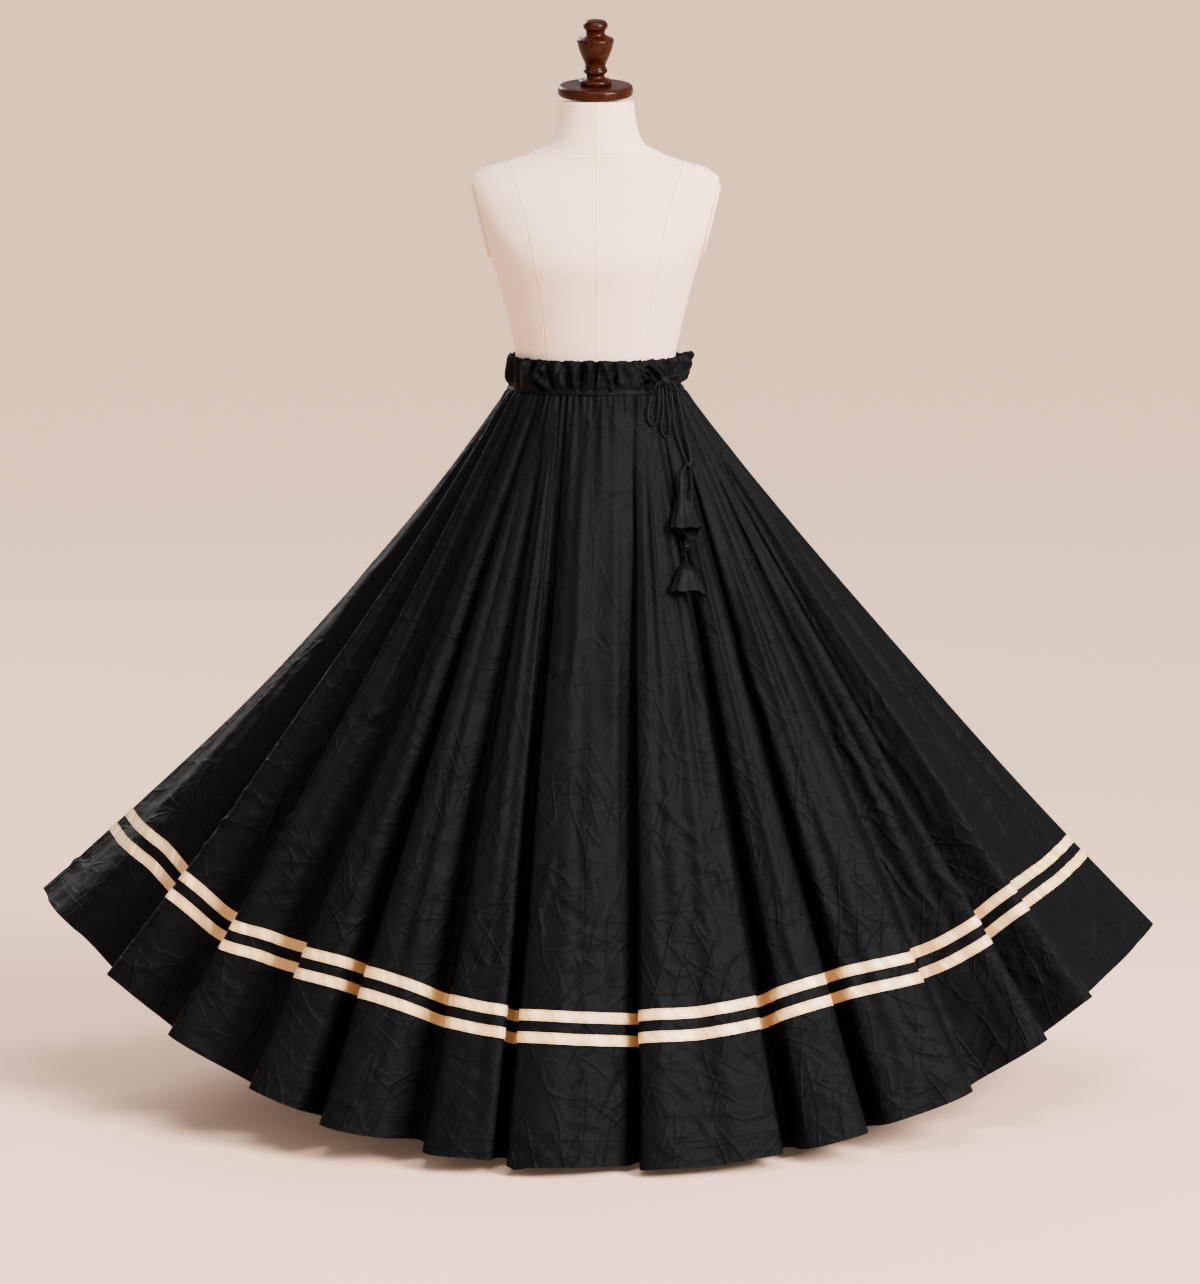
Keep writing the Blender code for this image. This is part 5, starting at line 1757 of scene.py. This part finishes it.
    def build(self, front: ClothFront) -> None:
        """Tie the bow and hang its tails and tassels.

        Args:
            front: The cloth that they lie on.
        """
        cotton = CORD_COTTON.material()
        bow, tail, lower = (self.add_knot(knot, cotton) for knot in KNOTS.values())
        upper_tassel, axis = self.add_tassel(front, "tassel_upper", TASSEL_UPPER, 72.0, cotton)
        into_upper = (axis[0] + (0.0, 0.0, 0.0045), *axis)
        lower_tassel, axis = self.add_tassel(front, "tassel_lower", TASSEL_LOWER, 30.0, cotton)
        centre, _ = self.knot_box("lower_knot")
        into_lower = (centre + (0.0, 0.0, 0.008), centre, *axis)
        for name, route, end, beyond, nodes, far_end, with_pieces in (
                ("bow_loop_left", LOOP_LEFT, "bow_knot", (), ("bow_loop_left",), "object", [bow]),
                ("bow_loop_right", LOOP_RIGHT, "bow_knot", (), ("bow_loop_right",), "object", []),
                ("tail_left", TAIL_LEFT, None, into_upper, ("tail_left", "tail_link"), "knot",
                 [upper_tassel, tail]),
                ("tail_right", TAIL_RIGHT, None, into_lower, ("tail_right", "tail_lower"), "knot",
                 [lower, lower_tassel])):
            path = self.drape(front, route, "bow_knot", end, beyond)
            self.add_cord(f"{name}_cord", path, cotton, nodes)


@dataclass
class DressForm:
    """The limbless form: padded torso, arm plates, neck cap and finial."""

    sides: int = 160
    rows: int = 150
    plate_low: Pair = (0.1445, 1.2050)
    plate_high: Pair = (0.1715, 1.3140)
    plate_sides: int = 72
    plate_length: float = 0.96      # over that of the armhole's flat
    plate_half_depth: float = 0.045
    plate_back: float = 0.010
    # Share of a plate's radius and distance out, from its inside over the rounded edge.
    plate_profile: tuple = ((0.0, 0.0004), (1.0, 0.0004), (1.0, 0.0026), (0.985, 0.0042),
                            (0.955, 0.0050), (0.5, 0.0054), (0.0, 0.0054))
    armhole: Pair = (1.18, 1.335)
    neck_lean: float = math.radians(9.0)
    neck_z: float = 1.4255
    # Height of the neck's seam at the sides, and how it falls in front and rises behind.
    neck_seam: Triple = (1.3735, 0.0195, 0.010)
    cap_rise: float = 0.0086

    def plate_x(self, z: Array) -> Array:
        """How far out the flat of an armhole lies at a height."""
        share = (z - self.plate_low[1]) / (self.plate_high[1] - self.plate_low[1])
        return self.plate_low[0] + share * (self.plate_high[0] - self.plate_low[0])

    def add_torso(self) -> None:
        """Make the torso.

        Formula: each level section is a superellipse, x and y being its half width and
        depth times the cosine and sine to a power of two over its squareness. The
        sections' sizes follow smooth curves, and the armholes cut it off flat.
        """
        sizes = np.array([section[1:] for section in TORSO_SECTIONS])
        smooth, _ = smooth_path(sizes, self.rows)
        z, half_width, fore, rear, square = (smooth[::-1, axis, None] for axis in range(5))
        angle = ring_angles(self.sides, -math.pi)[None, :]
        east, north = np.sin(angle), -np.cos(angle)
        x = half_width * np.sign(east) * np.abs(east) ** (2.0 / square)
        depth = np.where(north < 0.0, fore, rear)
        y = depth * np.sign(north) * np.abs(north) ** (2.0 / square)
        flat_at = np.where((z > self.armhole[0]) & (z < self.armhole[1]), self.plate_x(z), 1.0)
        x = np.clip(x, -flat_at, flat_at)
        grid = np.stack([x, y, np.broadcast_to(z, x.shape)], axis=-1)
        princess = np.abs(x) - np.interp(z, *np.array(PRINCESS_SEAM).T)
        beside, fall, climb = self.neck_seam
        neck = z - (beside + fall * np.minimum(north, 0.0) + climb * np.maximum(north, 0.0))
        top, low = (np.repeat(ring.mean(axis=1, keepdims=True), self.sides, 1)
                    for ring in (grid[:1], grid[-1:]))
        marks = {key: np.pad(mark, ((1, 1), (0, 0)), constant_values=1.0)
                 for key, mark in (("princess", princess), ("neck", neck))}
        piece = add_surface("form_torso", np.concatenate([top, grid, low]),
                            FORM_LINEN.material(), wrap=True, marks=marks, weld=True)
        settle(piece, "linen", "torso")

    def add_plates(self) -> None:
        """Cover both armholes.

        Formula: flat ovals with a rounded edge, each its profile carried round, leaning
        with the shoulder.
        """
        run = self.plate_high[0] - self.plate_low[0]
        rise = self.plate_high[1] - self.plate_low[1]
        lean = math.atan2(run, rise)
        half_length = math.hypot(rise, run) / 2.0 * self.plate_length
        middle_x, middle_z = self.plate_low[0] + run / 2.0, self.plate_low[1] + rise / 2.0
        share, out = (column[:, None] for column in np.array(self.plate_profile).T)
        angle = ring_angles(self.plate_sides)[None, :]
        linen = PLATE_LINEN.material()
        for side, word in ((-1.0, "left"), (1.0, "right")):
            along = half_length * share * np.sin(angle)
            x = side * (middle_x + along * math.sin(lean) + out * math.cos(lean))
            z = middle_z + along * math.cos(lean) - out * math.sin(lean)
            y = self.plate_back + self.plate_half_depth * share * np.cos(angle)
            grid = np.stack([x, y, z], axis=-1)
            piece = add_surface(f"form_arm_plate_{word}", grid if side < 0 else grid[:, ::-1],
                                linen, wrap=True, weld=True)
            settle(piece, "linen", f"arm_plate_{word}")

    def build(self, wood: Material) -> None:
        """Make the form.

        Args:
            wood: The finish of its cap and finial.
        """
        self.add_torso()
        self.add_plates()
        lean = Matrix.Translation((0.0, 0.0, self.neck_z)) @ Matrix.Rotation(
            self.neck_lean, 4, "X")
        cap_top = self.cap_rise + CAP[-1].height + SEAM_GAP
        for name, node, profile, steps, rise in (
                ("form_neck_cap", "neck_cap", CAP, 40, self.cap_rise),
                ("form_finial", "finial", FINIAL, 92, cap_top)):
            matrix = lean @ Matrix.Translation((0.0, 0.0, rise))
            settle(add_turned(name, profile, steps, wood, matrix), "polished_wood", node)


def add_turned(name: str, profile: tuple[ProfilePoint, ...], steps: int,
               material: Material, matrix: Matrix) -> Object:
    """Turn a profile.

    Formula: a smooth curve through the profile's points is carried round the axis, and
    both its ends are closed at the axis.

    Args:
        name: Name of the piece.
        profile: Its radii and heights, from below.
        steps: Points taken from the curve.
        material: Its finish.
        matrix: Where it stands.

    Returns:
        The new object.
    """
    curve, _ = smooth_path(np.array(profile), steps)
    ends = np.array([[0.0, curve[0, 1]], [0.0, curve[-1, 1]]])
    curve = np.vstack([ends[:1], curve, ends[1:]])[::-1]
    angle = ring_angles(TURNED_SIDES)
    grid = np.stack(np.broadcast_arrays(curve[:, :1] * np.cos(angle), curve[:, :1] * np.sin(angle),
                                        curve[:, 1:]), axis=-1)
    turned = grid @ np.array(matrix.to_3x3()).T + np.array(matrix.translation)
    return add_surface(name, turned, material, wrap=True, weld=True)


@dataclass
class Stand:
    """The turned pole and round base under the skirt."""

    pole_radius: float = 0.017
    base_height: float = 0.028
    torso_underside: float = 0.790
    chamfer: float = 0.001
    shoulder: float = 0.004     # distance from the pole's ends where its sides are straight

    def build(self, wood: Material) -> None:
        """Make the stand.

        Args:
            wood: Its finish.
        """
        still = Matrix.Identity(4)
        settle(add_turned("stand_base", BASE, 60, wood, still), "polished_wood", "base")
        low, high = self.base_height + SEAM_GAP, self.torso_underside - SEAM_GAP
        narrow = self.pole_radius - self.chamfer
        profile = table(
            ProfilePoint, (narrow, low), (self.pole_radius, low + self.chamfer),
            (self.pole_radius, low + self.shoulder), (self.pole_radius, high - self.shoulder),
            (self.pole_radius, high - self.chamfer), (narrow, high))
        settle(add_turned("stand_pole", profile, 30, wood, still), "polished_wood", "pole")


class FrontCamera:
    """The camera of the front view, for a picture of 1200 by 1284."""

    place = (0.0063, -7.0, 1.70)
    pitch_deg = 8.42
    lens = 150.0
    sensor = 36.0
    width, height = 1200.0, 1284.0
    metres_per_pixel = 0.0014       # at the form's axis

    @classmethod
    def picture_place(cls, x: Array, y: Array,
                      z: Array) -> tuple[Array, Array]:
        """Where a point shows in the picture.

        Formula: perspective. The point's offsets across and up from the camera's axis
        over its depth along the axis, times the pixels to a unit of slope.

        Args:
            x: The points' x.
            y: Their y.
            z: Their z.

        Returns:
            Their columns and rows in the picture.
        """
        pitch = math.radians(cls.pitch_deg)
        across = x - cls.place[0]
        ahead, above = y - cls.place[1], z - cls.place[2]
        depth = ahead * math.cos(pitch) - above * math.sin(pitch)
        rise = above * math.cos(pitch) + ahead * math.sin(pitch)
        pixels = cls.lens / cls.sensor * cls.width
        return (cls.width / 2.0 + across / depth * pixels,
                cls.height / 2.0 - rise / depth * pixels)

    @classmethod
    def build(cls) -> None:
        """Set up the camera."""
        data = bpy.data.cameras.new("front_camera")
        data.sensor_fit = "HORIZONTAL"
        data.sensor_width = cls.sensor
        data.lens = cls.lens
        data.clip_end = 1000.0
        camera = bpy.data.objects.new("front_camera", data)
        camera.location = cls.place
        camera.rotation_euler = (math.radians(90.0 - cls.pitch_deg), 0.0, 0.0)
        bpy.context.scene.collection.objects.link(camera)
        bpy.context.scene.camera = camera


class Lamp(NamedTuple):
    """A soft panel light: where it stands, what it points at, its size and power."""

    name: str
    place: Triple
    aim: Triple
    width: float
    height: float
    watts: float
    colour: Triple


@dataclass
class Studio:
    """The pale floor, the soft panels and the even light all round."""

    near: Triple = (0.92, 0.58, 0.42)
    far: Triple = (0.20, 0.17, 0.14)
    # painted light: the floor's own glow, faint near the skirt where it lifts the shadow, bright
    # further out
    near_glow: Triple = (0.050, 0.036, 0.025)
    glow: Triple = (1.56, 0.97, 0.61)
    world: Triple = (1.0, 0.97, 0.94)
    world_strength: float = 0.60
    lamps: tuple[Lamp, ...] = (
        Lamp("key_panel", (4.5, -4.3, 3.9), (0.0, 0.0, 0.75), 3.0, 3.0, 1750.0, (1.0, 0.98, 0.96)),
        Lamp("fill_panel", (-4.4, -4.4, 2.6), (0.0, 0.0, 0.7), 2.6, 2.6, 60.0, (1.0, 0.98, 0.96)),
        Lamp("top_panel", (0.4, -1.6, 4.6), (0.0, 0.0, 0.6), 2.6, 2.0, 160.0, (1.0, 0.98, 0.96)),
        Lamp("rear_panel", (-2.4, 4.4, 3.6), (0.0, 0.0, 0.9), 2.4, 2.4, 320.0, (1.0, 0.98, 0.96)),
    )

    def add_floor(self) -> None:
        """Lay the floor: a wide plain sheet that glows evenly beyond the skirt's shadow and
        faintly in it, painted light that lifts the shadow.
        """
        grid = np.array([[(x, y, 0.0) for x in (-400.0, 400.0)] for y in (400.0, -400.0)])
        shade = Shade("floor_paper")
        x, y, _ = shade.parts_of(shade.object_place())
        away = (x * x + y * y) ** 0.5
        beyond = away.rise(1.0, 3.0)
        shade.wear("Base Color", shade.colour(beyond, self.near, self.far))
        shade.wear("Emission Color", shade.colour(beyond, self.near_glow, self.glow))
        shade.fix(Roughness=0.9, Specular_IOR_Level=0.1, Emission_Strength=1.0)
        add_surface("floor", grid, shade.material)

    def build(self) -> None:
        """Light the scene."""
        self.add_floor()
        for lamp in self.lamps:
            data = bpy.data.lights.new(lamp.name, "AREA")
            data.shape = "RECTANGLE"
            data.size, data.size_y = lamp.width, lamp.height
            data.energy = lamp.watts
            data.color = lamp.colour
            light = bpy.data.objects.new(lamp.name, data)
            light.location = lamp.place
            aim = Vector(lamp.aim) - Vector(lamp.place)
            light.rotation_euler = aim.to_track_quat("-Z", "Y").to_euler()
            bpy.context.scene.collection.objects.link(light)
        world = bpy.data.worlds.new("even_light")
        world.use_nodes = True
        background = world.node_tree.nodes["Background"]
        background.inputs["Color"].default_value = (*self.world, 1.0)
        background.inputs["Strength"].default_value = self.world_strength
        bpy.context.scene.world = world


def main() -> None:
    """Dress the part, class by class."""
    logging.basicConfig(level=logging.INFO, format="%(name)s: %(message)s")
    FrontCamera.build()
    skirt = Skirt()
    band, band_surface = Waistband().build(skirt)
    cloth = skirt.build(band)
    front_half = cloth[:, :skirt.gores_per_half * skirt.front_columns + 1]
    Drawstring().build(ClothFront(front_half, band_surface))
    wood = TURNED_WOOD.material()
    DressForm().build(wood)
    Stand().build(wood)
    Studio().build()


if __name__ == "__main__":
    main()
